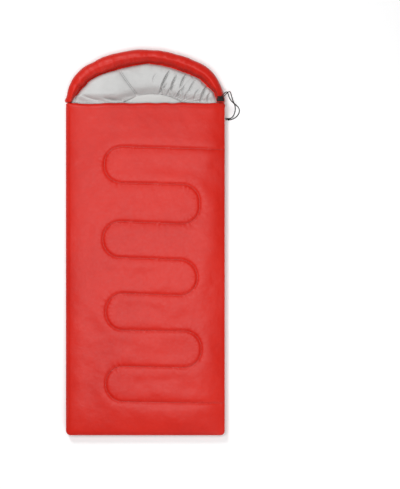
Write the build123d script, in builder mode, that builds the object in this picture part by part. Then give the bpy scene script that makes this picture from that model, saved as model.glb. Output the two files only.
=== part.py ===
"""Rectangular (envelope) sleeping bag with a gathered hood, lying flat on its back.

Frame: +Z up from the ground, +Y from the foot to the hood, +X to the zip side.
The origin is on the ground under the middle of the bag. Millimetres.

Two quilts lie one on the other, joined by a fold along the left edge and by a two-way
zip down the right edge and across the foot. Each quilt is shell fabric, hollow-fibre
filling and lining. The hood goes on from the back quilt and is gathered by a drawcord
that comes out at the zip corner, through a spring cord lock.
"""

from build123d import *
import math
import os

os.makedirs("parts", exist_ok=True)

# ---------------------------------------------------------------- driving dimensions
HALF_W = 428.0          # half the width of the bag
Y_FOOT = -1037.0        # foot end
Y_NECK = 753.0          # mouth of the bag, where the top quilt ends
Y_CROWN = 1037.0        # far edge of the hood
QUILT_T = 34.0          # loft of one quilt
GAP = 16.0              # space for the sleeper between the linings of the empty bag
CLOTH = 1.2             # cloth thickness as modelled
EDGE_R = 16.0           # rounding of the padded edges
FOOT_R = 24.0           # plan radius of the corners at the foot
MOUTH_R = 18.0          # plan radius of the top quilt's corners at the mouth
ZIP_GROOVE = 21.0       # how far the groove for the zip goes in from the edge
LEDGE = 6.0             # height of each side of that groove
FOLD_END = -402.0       # how far the fold's cloth runs on across the foot

Z_BACK = QUILT_T                    # lining of the back quilt
Z_LOW = QUILT_T + GAP               # lining of the top quilt
Z_HIGH = 2 * QUILT_T + GAP          # top of the bag
Z_FOLD = QUILT_T + GAP / 2          # fold line of the left edge, and the zip's middle

# zip
TAPE_X = 413.5                      # plane of the tape on the side
TAPE_Y = -1022.5                    # plane of the tape at the foot
TAPE_T = 1.0
TAPE_R = 38.0                       # bend of the zip at the corner
ZIP_TOP = 747.0                     # top end of the tape
ZIP_END = -398.0                    # far end of the tape, across the foot
COIL_W = 2.9                        # width of one coil
COIL_T = 2.8
COIL_GAP = 1.2                      # between the two coils as modelled
SIDE_SLIDER_Y = 726.0               # side slider, closed
FOOT_SLIDER_X = -380.0              # foot slider, closed
SLIDER_L = 24.0

# hood
NECK_GAP = 1.5
HOOD_TILT = 4.0                     # degrees that the gathered hood lifts towards the crown
HOOD_SIDE_R = 240.0                 # plan radius at the sides of the hood
FLOOR_D = 232.0                     # width of the padded wall, from the outline inwards
CORNER_X = 340.0                    # the sewn corner at the zip side
CORNER_Y = 808.0
CORNER_GAP = 3.0                    # room for the hood to fold up beside it

# drawcord and its lock
CORD_D = 5.0
CORD_X = (410.0, 398.0)
CORD_Y = 767.0
EXIT_Z = 95.0
LOCK_Z = 102.5                      # middle of the lock

Y_HOOD = Y_NECK + NECK_GAP
SIN, COS = math.sin(math.radians(HOOD_TILT)), math.cos(math.radians(HOOD_TILT))
HOOD_B = (Y_CROWN - Y_HOOD) / COS + 50 * SIN / COS
HOOD_TOP_R = ((HALF_W - HOOD_SIDE_R) ** 2 + HOOD_B**2 - HOOD_SIDE_R**2) / (
    2 * (HOOD_B - HOOD_SIDE_R)
)


def finish(part, name):
    part.label = name
    export_step(part, f"parts/{name}.step")
    print(f"{name:26s} solids {len(part.solids()):3d} volume {part.volume:12.1f}")


# ---------------------------------------------------------------- quilts
def quilt_body(inset, mouth_inset, mouth_r):
    """A quilt lying on the ground with its lining up, all faces moved in by inset."""
    with BuildPart() as body:
        y0, y1 = Y_FOOT + inset, Y_NECK - mouth_inset
        with BuildSketch(Plane.XY.offset(inset)) as plan:
            with Locations((0, (y0 + y1) / 2)):
                Rectangle(2 * (HALF_W - inset), y1 - y0)
            fillet(plan.vertices().group_by(Axis.Y)[0], FOOT_R - inset)
            if mouth_r:
                fillet(plan.vertices().group_by(Axis.Y)[-1], mouth_r - inset)
        extrude(amount=QUILT_T - LEDGE - 2 * inset)
        low = body.edges().group_by(Axis.Z)[0]
        if not mouth_r:
            low = low.sort_by(Axis.Y)[:-1]
        fillet(low, EDGE_R - inset)
        x1, y2 = HALF_W - ZIP_GROOVE - inset, Y_FOOT + ZIP_GROOVE + inset
        with BuildSketch(Plane.XY.offset(QUILT_T - LEDGE - inset)) as step:
            with Locations(((x1 - HALF_W + inset) / 2, (y1 + y2) / 2)):
                Rectangle(x1 + HALF_W - inset, y1 - y2)
            foot = step.vertices().group_by(Axis.Y)[0]
            fillet(foot.sort_by(Axis.X)[:1], 12)
            fillet(step.vertices().group_by(Axis.Y)[0].sort_by(Axis.X)[-1:], 31)
            if mouth_r:
                fillet(step.vertices().group_by(Axis.Y)[-1].sort_by(Axis.X)[:1], mouth_r - inset)
        extrude(amount=LEDGE)
    return body.part


def lining_sheet(z, mouth_inset, mouth_r):
    with BuildPart() as sheet:
        x0, x1 = -HALF_W + CLOTH, HALF_W - ZIP_GROOVE
        y0, y1 = Y_FOOT + ZIP_GROOVE, Y_NECK - mouth_inset
        with BuildSketch(Plane.XY.offset(z)) as plan:
            with Locations(((x0 + x1) / 2, (y0 + y1) / 2)):
                Rectangle(x1 - x0, y1 - y0)
            fillet(plan.vertices().group_by(Axis.Y)[0].sort_by(Axis.X)[:1], 11)
            fillet(plan.vertices().group_by(Axis.Y)[0].sort_by(Axis.X)[-1:], 31)
            if mouth_r:
                fillet(plan.vertices().group_by(Axis.Y)[-1].sort_by(Axis.X)[:1], mouth_r - CLOTH)
        extrude(amount=CLOTH)
    return sheet.part


outer_back = quilt_body(0, 0, 0)
inner_back = quilt_body(CLOTH, 0, 0)
outer_top = quilt_body(0, 0, MOUTH_R)
inner_top = quilt_body(CLOTH, CLOTH, MOUTH_R)
back_sheet = lining_sheet(Z_BACK - CLOTH, 0, 0)
top_sheet = lining_sheet(Z_BACK - CLOTH, 0, MOUTH_R)


def shell_of(outer, inner, sheet):
    with BuildPart() as shell:
        add(outer)
        add(inner, mode=Mode.SUBTRACT)
        add(sheet, mode=Mode.SUBTRACT)
    return shell.part


def fold_strip(y_end):
    """The cloth of the left edge, from a quilt's lining to the fold line."""
    y0 = Y_FOOT + FOOT_R + 1
    with BuildPart() as strip:
        with Locations((-HALF_W + CLOTH / 2, (y0 + y_end) / 2, (Z_BACK + Z_FOLD) / 2)):
            Box(CLOTH, y_end - y0, Z_FOLD - Z_BACK)
    return strip.part


def fold_corner():
    """The same cloth going round the foot corner, from a quilt's edge to the fold line."""
    with BuildPart() as corner:
        with BuildSketch(Plane.XY.offset(Z_BACK - LEDGE)):
            with BuildLine():
                x, y, i, y1 = -HALF_W, Y_FOOT, CLOTH, Y_FOOT + FOOT_R + 1
                FilletPolyline((x, y1), (x, y), (FOLD_END, y), radius=FOOT_R)
                Line((FOLD_END, y), (FOLD_END, y + i))
                FilletPolyline((FOLD_END, y + i), (x + i, y + i), (x + i, y1), radius=FOOT_R - i)
                Line((x + i, y1), (x, y1))
            make_face()
        extrude(amount=Z_FOLD - Z_BACK + LEDGE)
    return corner.part


with BuildPart() as back_shell:
    add(shell_of(outer_back, inner_back, back_sheet))
finish(back_shell.part, "back_shell")

with BuildPart() as back_fill:
    add(inner_back)
finish(back_fill.part, "back_fill")

with BuildPart() as back_lining:
    add(back_sheet)
finish(back_lining.part, "back_lining")

with BuildPart() as fold_strip_back:
    add(fold_strip(Y_NECK))
finish(fold_strip_back.part, "fold_strip_back")

with BuildPart() as fold_corner_back:
    add(fold_corner())
finish(fold_corner_back.part, "fold_corner_back")

# The top quilt is the same quilt turned over about the fold line.
FLIP = Plane.XY.offset(Z_FOLD)

with BuildPart() as top_shell:
    mirror(shell_of(outer_top, inner_top, top_sheet), about=FLIP)
finish(top_shell.part, "top_shell")

with BuildPart() as top_fill:
    mirror(inner_top, about=FLIP)
finish(top_fill.part, "top_fill")

with BuildPart() as top_lining:
    mirror(top_sheet, about=FLIP)
finish(top_lining.part, "top_lining")

with BuildPart() as fold_strip_top:
    mirror(fold_strip(Y_NECK - MOUTH_R), about=FLIP)
finish(fold_strip_top.part, "fold_strip_top")

with BuildPart() as fold_corner_top:
    mirror(fold_corner(), about=FLIP)
finish(fold_corner_top.part, "fold_corner_top")

# One continuous stitched line in loops across the top quilt.
STITCH = [
    (424, 500.2), (-220, 519.5), (-220, 324.0), (290, 311.4), (293, 96.6), (-226, 118.6),
    (-229, -75.0), (280, -94.6), (278, -285.2), (-212, -268.5), (-211, -468.6), (300, -474.8),
    (301, -671.6), (-213, -661.5), (-212, -851.5), (424, -862.5),
]
STITCH_R = 94.0
THREAD_R = 0.6
with BuildPart() as thread:
    with BuildLine() as stitch_path:
        FilletPolyline(*[(x, y, Z_HIGH + THREAD_R) for x, y in STITCH], radius=STITCH_R)
    with BuildSketch(Plane(origin=(424, 500.2, Z_HIGH + THREAD_R), z_dir=(-1, 0.03, 0))):
        Circle(THREAD_R)
    sweep(path=stitch_path.wires()[0])
finish(thread.part, "top_quilting_thread")


# ---------------------------------------------------------------- zip
def zip_strip(thick, z0, z1, y_top, x_end):
    """A strip standing on edge along the side, round the corner and across the foot."""
    with BuildPart() as strip:
        with BuildSketch(Plane.XY.offset(z0)):
            with BuildLine():
                o, i = thick / 2, -thick / 2
                FilletPolyline(
                    (x_end, TAPE_Y - o), (TAPE_X + o, TAPE_Y - o), (TAPE_X + o, y_top), radius=TAPE_R + o
                )
                Line((TAPE_X + o, y_top), (TAPE_X + i, y_top))
                FilletPolyline(
                    (TAPE_X + i, y_top), (TAPE_X + i, TAPE_Y - i), (x_end, TAPE_Y - i), radius=TAPE_R + i
                )
                Line((x_end, TAPE_Y - i), (x_end, TAPE_Y - o))
            make_face()
        extrude(amount=z1 - z0)
    return strip.part


COIL_LO = Z_FOLD - COIL_GAP / 2 - COIL_W
COIL_HI = Z_FOLD + COIL_GAP / 2 + COIL_W
finish(zip_strip(TAPE_T, QUILT_T - LEDGE, COIL_LO, ZIP_TOP, ZIP_END), "zip_tape_back")
finish(zip_strip(TAPE_T, COIL_HI, Z_LOW + LEDGE, ZIP_TOP, ZIP_END), "zip_tape_top")
finish(zip_strip(COIL_T, COIL_LO, COIL_LO + COIL_W, ZIP_TOP - 6, ZIP_END + 6), "zip_coil_back")
finish(
    zip_strip(COIL_T, COIL_HI - COIL_W, COIL_HI, SIDE_SLIDER_Y - SLIDER_L / 2 - 3, FOOT_SLIDER_X + SLIDER_L / 2 + 3),
    "zip_coil_top",
)

for name, z in (("zip_stops_back", COIL_LO + COIL_W / 2), ("zip_stops_top", COIL_HI - COIL_W / 2)):
    with BuildPart() as stops:
        with Locations((TAPE_X, ZIP_TOP - 3, z)):
            Box(3.4, 4.6, COIL_W)
        with Locations((ZIP_END + 3, TAPE_Y, z)):
            Box(4.6, 3.4, COIL_W)
        fillet(stops.edges().filter_by(Axis.Z), 0.8)
    finish(stops.part, name)

# slider, in its own plane: x along the zip towards the closed end, z out of the bag
PLATE_W, TAIL_W, PLATE_T = 17.0, 13.0, 1.6
CHANNEL = 4.2
SLOT = 2.2
WEB_T = 0.6
PIN_R = 0.9
PIN_Z = CHANNEL / 2 + PLATE_T + 1.6
BRIDGE_W = 3.0


def slider_at(plane):
    top = CHANNEL / 2 + PLATE_T
    with BuildPart(plane) as slider:
        with BuildSketch(plane.offset(-top)):
            with BuildLine():
                Polyline(
                    (-SLIDER_L / 2, -TAIL_W / 2), (-2, -TAIL_W / 2), (4, -PLATE_W / 2), (SLIDER_L / 2, -PLATE_W / 2),
                    (SLIDER_L / 2, PLATE_W / 2), (4, PLATE_W / 2), (-2, TAIL_W / 2), (-SLIDER_L / 2, TAIL_W / 2),
                    close=True,
                )
            make_face()
        extrude(amount=2 * top)
        along = plane.x_dir
        ends = slider.edges().filter_by(Axis((0, 0, 0), tuple(plane.z_dir)))
        ends = ends.sort_by(Axis((0, 0, 0), tuple(along)))
        fillet(ends[:2] + ends[-2:], 2.5)
        with BuildSketch(plane.offset(-CHANNEL / 2)):
            with BuildLine():
                Polyline(
                    (-20, -TAIL_W / 2 + 1.4), (-1.6, -TAIL_W / 2 + 1.4), (4.4, -PLATE_W / 2 + 1.4), (20, -PLATE_W / 2 + 1.4),
                    (20, PLATE_W / 2 - 1.4), (4.4, PLATE_W / 2 - 1.4), (-1.6, TAIL_W / 2 - 1.4), (-20, TAIL_W / 2 - 1.4),
                    close=True,
                )
            make_face()
        extrude(amount=CHANNEL, mode=Mode.SUBTRACT)
        with BuildSketch(plane.offset(-SLOT / 2)):
            Rectangle(40, 40)
        extrude(amount=SLOT, mode=Mode.SUBTRACT)
        # the web that joins the two plates between the coils
        with BuildSketch(plane.offset(-CHANNEL / 2)):
            with Locations((SLIDER_L / 2 - 3.5, 0)):
                Rectangle(6, WEB_T)
        extrude(amount=CHANNEL)
        # the bridge that holds the pull
        with BuildSketch(plane.offset(top)):
            with Locations((-5.5, 0), (5.5, 0)):
                Rectangle(1.6, BRIDGE_W)
        extrude(amount=3.2)
        with BuildSketch(plane.offset(top + 3.2)):
            RectangleRounded(12.6, BRIDGE_W, 0.8)
        extrude(amount=1.4)
    return slider.part


def pull_at(plane):
    """A pull with its own cross bar under the bridge, lying towards the tail of the zip."""
    with BuildPart(plane) as pull:
        with BuildSketch(plane.offset(PIN_Z - 0.8)):
            with Locations((-4.2, 2.75), (-4.2, -2.75)):
                Rectangle(8.4, 1.3)
            with Locations((-19.5, 0)):
                RectangleRounded(23.0, 9.0, 2.5)
            with Locations((-27, 0)):
                SlotOverall(7.0, 3.0, rotation=90, mode=Mode.SUBTRACT)
        extrude(amount=1.6)
        with Locations((0, 0, PIN_Z)):
            Cylinder(PIN_R, 6.8, rotation=(90, 0, 0))
    return pull.part


SIDE_PLANE = Plane(origin=(TAPE_X, SIDE_SLIDER_Y, Z_FOLD), x_dir=(0, 1, 0), z_dir=(1, 0, 0))
FOOT_PLANE = Plane(origin=(FOOT_SLIDER_X, TAPE_Y, Z_FOLD), x_dir=(-1, 0, 0), z_dir=(0, -1, 0))
finish(slider_at(SIDE_PLANE), "side_slider")
finish(pull_at(SIDE_PLANE), "side_slider_pull")
finish(slider_at(FOOT_PLANE), "foot_slider")
finish(pull_at(FOOT_PLANE), "foot_slider_pull")

# ---------------------------------------------------------------- hood
HOOD = Plane(origin=(0, Y_HOOD, 0), x_dir=(1, 0, 0), z_dir=(0, -SIN, COS))
ANG = math.degrees(math.atan2(HOOD_TOP_R - HOOD_B, HALF_W - HOOD_SIDE_R))


def arch(d):
    """The hood's plan outline moved in by d, from the left end to the right."""
    r = HOOD_SIDE_R - d
    cx = HALF_W - HOOD_SIDE_R
    CenterArc((-cx, 0), r, 180, -ANG)
    CenterArc((0, HOOD_B - HOOD_TOP_R), HOOD_TOP_R - d, 180 - ANG, -(180 - 2 * ANG))
    CenterArc((cx, 0), r, ANG, -ANG)


SHELL_PTS = [(FLOOR_D, 0), (34, 0), (0, 34), (0, 66), (26, 90), (60, 90)]
SHELL_R = [34, 30, 24, 24]
LINE_PTS = [(60, 78), (84, 70), (150, 54), (FLOOR_D, 34)]
LINE_R = [40, 90]


def shifted(pts, dist):
    """The points of an open polyline moved dist to its right, with mitred corners."""
    out = []
    n = len(pts)
    for k, p in enumerate(pts):
        dirs = []
        if k > 0:
            dirs.append((p[0] - pts[k - 1][0], p[1] - pts[k - 1][1]))
        if k < n - 1:
            dirs.append((pts[k + 1][0] - p[0], pts[k + 1][1] - p[1]))
        norms = []
        for dx, dy in dirs:
            length = math.hypot(dx, dy)
            norms.append((dy / length, -dx / length))
        if len(norms) == 1:
            nx, ny = norms[0]
            scale_by = 1.0
        else:
            nx, ny = norms[0][0] + norms[1][0], norms[0][1] + norms[1][1]
            length = math.hypot(nx, ny)
            nx, ny = nx / length, ny / length
            scale_by = 1 / (nx * norms[0][0] + ny * norms[0][1])
        out.append((p[0] + nx * dist * scale_by, p[1] + ny * dist * scale_by))
    return out


# The shell line turns clockwise, so its inside is on its right. The lining is a straight
# offset downwards at its ends, which keeps both ends on the planes they meet.
SHELL_IN = shifted(SHELL_PTS, CLOTH)
SHELL_IN_R = [r - CLOTH for r in SHELL_R]
LINE_IN = shifted(LINE_PTS, CLOTH)
LINE_IN = [(60, LINE_IN[0][1] - 0.3)] + LINE_IN[1:-1] + [(FLOOR_D, 34 - CLOTH)]
LINE_IN_R = [LINE_R[0] - CLOTH, LINE_R[1] + 0.0]

PROFILE = Plane(
    origin=HOOD.from_local_coords((-HALF_W, 0, 0)),
    x_dir=HOOD.x_dir,
    z_dir=HOOD.y_dir * -1,
)


def swept(face, slab=None, keep_corner=False):
    with BuildPart() as body:
        with BuildLine(HOOD) as path:
            arch(0)
        sweep(sections=face.sketch, path=path.wires()[0])
        if slab:
            with BuildSketch(HOOD.offset(slab[0])):
                with BuildLine():
                    r, cx, q = HOOD_SIDE_R - FLOOR_D, HALF_W - HOOD_SIDE_R, HOOD_TOP_R - FLOOR_D
                    CenterArc((-cx, 0), r, 180, -ANG)
                    CenterArc((0, HOOD_B - HOOD_TOP_R), q, 180 - ANG, -(180 - 2 * ANG))
                    CenterArc((cx, 0), r, ANG, -ANG)
                    Line((cx + r, 0), (-cx - r, 0))
                make_face()
            extrude(amount=slab[1] - slab[0])
        with Locations((0, Y_HOOD - 200, 60)):
            Box(1200, 400, 400, mode=Mode.SUBTRACT)
        if keep_corner:
            with Locations((CORNER_X + 1 + 200, Y_HOOD + (CORNER_Y - Y_HOOD) / 2, 60)):
                Box(400, CORNER_Y - Y_HOOD, 400, mode=Mode.INTERSECT)
        else:
            with Locations((CORNER_X + 200, CORNER_Y + CORNER_GAP - 200, 60)):
                Box(400, 400, 400, mode=Mode.SUBTRACT)
    return body.part


def profile(upper, upper_r, lower, lower_r):
    """A closed section of the hood's wall between two polylines, upper then lower."""
    with BuildSketch(PROFILE) as face:
        with BuildLine():
            FilletPolyline(*upper, radius=upper_r)
            Line(upper[-1], lower[0])
            FilletPolyline(*lower, radius=lower_r)
            Line(lower[-1], upper[0])
        make_face()
    return face


shell_face = profile(SHELL_PTS, SHELL_R, SHELL_IN[::-1], SHELL_IN_R[::-1])
lining_face = profile(LINE_PTS, LINE_R, LINE_IN[::-1], LINE_IN_R[::-1])
fill_face = profile(SHELL_IN, SHELL_IN_R, LINE_IN, LINE_IN_R)
whole_face = profile(SHELL_PTS, SHELL_R, LINE_PTS, LINE_R)

CHAN = (60.0, 79.0, 74.0, 90.0)
CHAN_C = ((CHAN[0] + CHAN[2]) / 2, (CHAN[1] + CHAN[3]) / 2)
with BuildSketch(PROFILE) as channel_face:
    with Locations(CHAN_C):
        RectangleRounded(CHAN[2] - CHAN[0], CHAN[3] - CHAN[1], 3.0)
        RectangleRounded(CHAN[2] - CHAN[0] - 3.2, CHAN[3] - CHAN[1] - 3.2, 1.8, mode=Mode.SUBTRACT)
with BuildSketch(PROFILE) as cord_face:
    with Locations(CHAN_C):
        Circle(CORD_D / 2)

finish(swept(shell_face, (0, CLOTH)), "hood_shell")
finish(swept(fill_face, (CLOTH, QUILT_T - CLOTH)), "hood_fill")
finish(swept(lining_face, (QUILT_T - CLOTH, QUILT_T)), "hood_lining")
finish(swept(channel_face), "hood_cord_channel")
finish(swept(cord_face), "hood_drawcord")

# the sewn corner of the hood at the zip side, which stays on the back quilt
finish(swept(shell_face, None, True), "hood_corner_shell")
finish(swept(fill_face, None, True), "hood_corner_fill")
finish(swept(lining_face, None, True), "hood_corner_lining")
finish(swept(channel_face, None, True), "hood_corner_channel")
finish(swept(cord_face, None, True), "hood_corner_drawcord")
corner_pad = swept(whole_face, None, True)

# flat patch on the corner, where both strands of the drawcord come out
with BuildPart() as patch:
    with Locations((404, 771, (EXIT_Z + 70) / 2)):
        Box(36, 28, EXIT_Z - 70)
    fillet(patch.edges().filter_by(Axis.Z), 6)
    add(corner_pad, mode=Mode.SUBTRACT)
patch_solid = patch.part.solids().sort_by(Axis.Z)[-1]
with BuildPart() as exit_patch:
    add(patch_solid)
finish(exit_patch.part, "drawcord_exit_patch")

# ---------------------------------------------------------------- cord lock
LOCK_W, LOCK_T = 40.0, 13.0
BARREL_Y = (757.0, 773.5)
CAV_W, CAV_T = 28.0, 8.6
HOLE_R = 3.05
TRAVEL = 3.5
lock_mid = (CORD_X[0] + CORD_X[1]) / 2
BARREL = Plane(origin=(lock_mid, BARREL_Y[0], LOCK_Z), x_dir=(1, 0, 0), z_dir=(0, 1, 0))

with BuildPart() as barrel:
    with BuildSketch(BARREL):
        RectangleRounded(LOCK_W, LOCK_T, 6.2)
    extrude(amount=BARREL_Y[1] - BARREL_Y[0])
    fillet(barrel.faces().sort_by(Axis.Y)[0].edges(), 5.5)
    with BuildSketch(BARREL.offset(1.6)):
        RectangleRounded(CAV_W, CAV_T, 3.0)
    extrude(amount=BARREL_Y[1] - BARREL_Y[0], mode=Mode.SUBTRACT)
    with BuildSketch(Plane.XY.offset(LOCK_Z - 20)):
        with Locations(*[(x, CORD_Y) for x in CORD_X]):
            Circle(HOLE_R)
    extrude(amount=40, mode=Mode.SUBTRACT)
finish(barrel.part, "cord_lock_barrel")

with BuildPart() as plunger:
    with BuildSketch(BARREL.offset(5.2)):
        RectangleRounded(CAV_W - 0.6, CAV_T - 0.6, 2.7)
    extrude(amount=778.5 - BARREL_Y[0] - 5.2)
    with BuildSketch(BARREL.offset(778.5 - BARREL_Y[0])):
        RectangleRounded(38.0, 12.4, 6.0)
    extrude(amount=6.5)
    fillet(plunger.faces().sort_by(Axis.Y)[-1].edges(), 4.5)
    with BuildSketch(Plane.XY.offset(LOCK_Z - 20)):
        with Locations(*[(x, CORD_Y + TRAVEL / 2) for x in CORD_X]):
            SlotOverall(2 * HOLE_R + TRAVEL, 2 * HOLE_R, rotation=90)
    extrude(amount=40, mode=Mode.SUBTRACT)
finish(plunger.part, "cord_lock_plunger")

with BuildPart() as spring:
    with BuildLine():
        Helix(pitch=1.1, height=2.6, radius=2.6, center=(lock_mid, BARREL_Y[0] + 2.1, LOCK_Z), direction=(0, 1, 0))
    wire_path = spring.line if hasattr(spring, "line") else None
    start = spring.pending_edges[0]
    with BuildSketch(Plane(origin=start @ 0, z_dir=start % 0)):
        Circle(0.35)
    sweep(path=start)
finish(spring.part, "cord_lock_spring")

# ---------------------------------------------------------------- drawcord outside the hood
FLOOR_Z = CORD_D / 2
ROUTE_A = [
    (CORD_X[0], CORD_Y, EXIT_Z), (CORD_X[0], CORD_Y, 128.5), (427, 788, 132), (444, 807, 119.5),
    (454, 812, 88), (459, 808, 50), (463, 799, 17), (467, 785, FLOOR_Z), (473, 766, FLOOR_Z),
    (481, 751, FLOOR_Z), (485, 736, FLOOR_Z), (485, 718, FLOOR_Z), (481, 701, FLOOR_Z),
    (475, 687, FLOOR_Z), (467, 677.5, FLOOR_Z), (456.3, 672.2, FLOOR_Z),
]
# the second strand passes over the first one in a low hump, and then runs outside it
ROUTE_B = [
    (CORD_X[1], CORD_Y, EXIT_Z), (CORD_X[1], CORD_Y, 128), (414, 788, 131), (431, 806, 119.5),
    (441, 809, 88), (446, 801, 52), (450, 792, 18), (455, 780, FLOOR_Z), (464, 767, 3.6),
    (473.5, 758, 7.2), (483, 749.5, 9.2), (493, 742, 6.5), (502, 733, FLOOR_Z), (508, 719, FLOOR_Z),
    (506, 704, FLOOR_Z), (498, 689, FLOOR_Z), (485, 677, FLOOR_Z), (470, 668.8, FLOOR_Z),
    (456.3, 665.6, FLOOR_Z),
]


def tube(route, r):
    pts = [Vector(*p) for p in route]
    radii = []
    for k in range(1, len(pts) - 1):
        a, b = pts[k] - pts[k - 1], pts[k + 1] - pts[k]
        turn = math.radians(a.get_angle(b))
        radii.append(0.45 * min(a.length, b.length) / math.tan(turn / 2))
    print("  runs", [round((pts[k + 1] - pts[k]).length, 1) for k in range(len(pts) - 1)])
    print("  radii", [round(x, 1) for x in radii])
    with BuildPart() as cord:
        with BuildLine() as line:
            FilletPolyline(*route, radius=radii)
        wire = line.wires()[0]
        with BuildSketch(Plane(origin=route[0], z_dir=(0, 0, 1))):
            Circle(r)
        sweep(path=wire)
    want = math.pi * r * r * wire.length
    print(f"  length {wire.length:.1f} volume {cord.part.volume:.1f} of {want:.1f}")
    return cord.part


finish(tube(ROUTE_A, CORD_D / 2), "drawcord_tail_a")
finish(tube(ROUTE_B, CORD_D / 2), "drawcord_tail_b")

# overhand knot that ties the two strands, and their cut ends beyond it
with BuildPart() as knot:
    with BuildSketch(Plane(origin=(441, 669, 6.6), x_dir=(0, 1, 0), z_dir=(1, 0, 0))):
        Ellipse(8.0, 6.5)
    extrude(amount=15)
    fillet(knot.edges(), 4.2)
finish(knot.part, "drawcord_knot")

with BuildPart() as ends:
    with Locations(Plane(origin=(441, 672.0, 4.0), z_dir=(-1, 0, 0)), Plane(origin=(441, 666.3, 4.0), z_dir=(-1, 0, 0))):
        Cylinder(CORD_D / 2, 10, align=(Align.CENTER, Align.CENTER, Align.MIN))
finish(ends.part, "drawcord_ends")
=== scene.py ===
"""Rectangular sleeping bag with a gathered hood: the looks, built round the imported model."""

import math

import bpy
import numpy as np
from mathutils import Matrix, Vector
from mathutils.bvhtree import BVHTree
from mathutils.kdtree import KDTree


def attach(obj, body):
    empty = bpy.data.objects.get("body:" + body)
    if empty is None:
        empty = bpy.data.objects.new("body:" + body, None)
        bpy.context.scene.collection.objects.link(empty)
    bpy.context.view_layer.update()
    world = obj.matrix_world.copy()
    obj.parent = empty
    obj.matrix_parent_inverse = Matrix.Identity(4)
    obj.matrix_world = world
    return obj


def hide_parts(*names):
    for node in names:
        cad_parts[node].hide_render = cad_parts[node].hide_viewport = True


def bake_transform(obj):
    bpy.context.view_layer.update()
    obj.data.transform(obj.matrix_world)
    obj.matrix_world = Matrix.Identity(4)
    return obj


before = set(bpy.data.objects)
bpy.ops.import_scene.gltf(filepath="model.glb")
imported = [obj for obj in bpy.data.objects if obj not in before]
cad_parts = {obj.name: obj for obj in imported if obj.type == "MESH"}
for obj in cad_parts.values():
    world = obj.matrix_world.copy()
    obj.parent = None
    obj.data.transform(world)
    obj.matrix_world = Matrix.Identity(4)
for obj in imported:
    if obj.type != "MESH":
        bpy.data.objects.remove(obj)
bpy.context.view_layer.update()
scene = bpy.context.scene

# ------------------------------------------------------------------ sizes, as in the CAD (metres)
HW, Y_FOOT, Y_NECK, Y_CROWN = 0.428, -1.037, 0.753, 1.037
Z_HIGH, Z_FOLD = 0.084, 0.042
INSET = 0.024
TAPE_X, TAPE_Y, TAPE_R = 0.4135, -1.0225, 0.038
Y_HOOD = 0.7545
TILT = math.tan(math.radians(4.0))
SIDE_R = 0.240
HOOD_B = (Y_CROWN - Y_HOOD) / math.cos(math.radians(4)) + 0.050 * math.tan(math.radians(4))
TOP_R = ((HW - SIDE_R) ** 2 + HOOD_B**2 - SIDE_R**2) / (2 * (HOOD_B - SIDE_R))
ARCH_ANG = math.atan2(TOP_R - HOOD_B, HW - SIDE_R)
STITCH = [
    (424, 500.2), (-220, 519.5), (-220, 324.0), (290, 311.4), (293, 96.6), (-226, 118.6),
    (-229, -75.0), (280, -94.6), (278, -285.2), (-212, -268.5), (-211, -468.6), (300, -474.8),
    (301, -671.6), (-213, -661.5), (-212, -851.5), (424, -862.5),
]
STITCH_R = 94.0
ROUTE_A = [
    (410, 767, 95), (410, 767, 109), (410, 767, 125.5), (424, 784, 133.2), (444, 806, 120.5), (454, 812, 88), (459, 808, 50),
    (463, 799, 17), (467, 785, 2.5), (473, 766, 2.5), (481, 751, 2.5), (485, 736, 2.5), (485, 718, 2.5),
    (481, 701, 2.5), (475, 687, 2.5), (467, 677.5, 2.5), (456.3, 672.2, 2.5),
]
ROUTE_B = [
    (398, 767, 95), (398, 767, 109), (398, 767, 125), (411, 783.5, 132.6), (431, 805.5, 120.5), (441, 809, 88), (446, 801, 52),
    (450, 792, 18), (455, 780, 2.5), (464, 767, 3.6), (473.5, 758, 7.2), (483, 749.5, 9.2), (493, 742, 6.5),
    (502, 733, 2.5), (508, 719, 2.5), (506, 704, 2.5), (498, 689, 2.5), (485, 677, 2.5), (470, 668.8, 2.5),
    (456.3, 665.6, 2.5),
]
CORD_D = 0.005

# ------------------------------------------------------------------ camera, straight above
MM_PER_PX = 5.366
CAM_H = 9.0
cam_data = bpy.data.cameras.new("camera")
cam = bpy.data.objects.new("camera", cam_data)
scene.collection.objects.link(cam)
cam_data.sensor_width = 36.0
cam_data.lens = 36.0 * CAM_H / (489 * MM_PER_PX / 1000)
cam.location = ((200 - 145.2) * MM_PER_PX / 1000, ((436 - 244.5) * MM_PER_PX - 1037) / 1000, Z_HIGH + CAM_H)
cam_data.clip_start, cam_data.clip_end = 0.05, 60
scene.camera = cam


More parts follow.
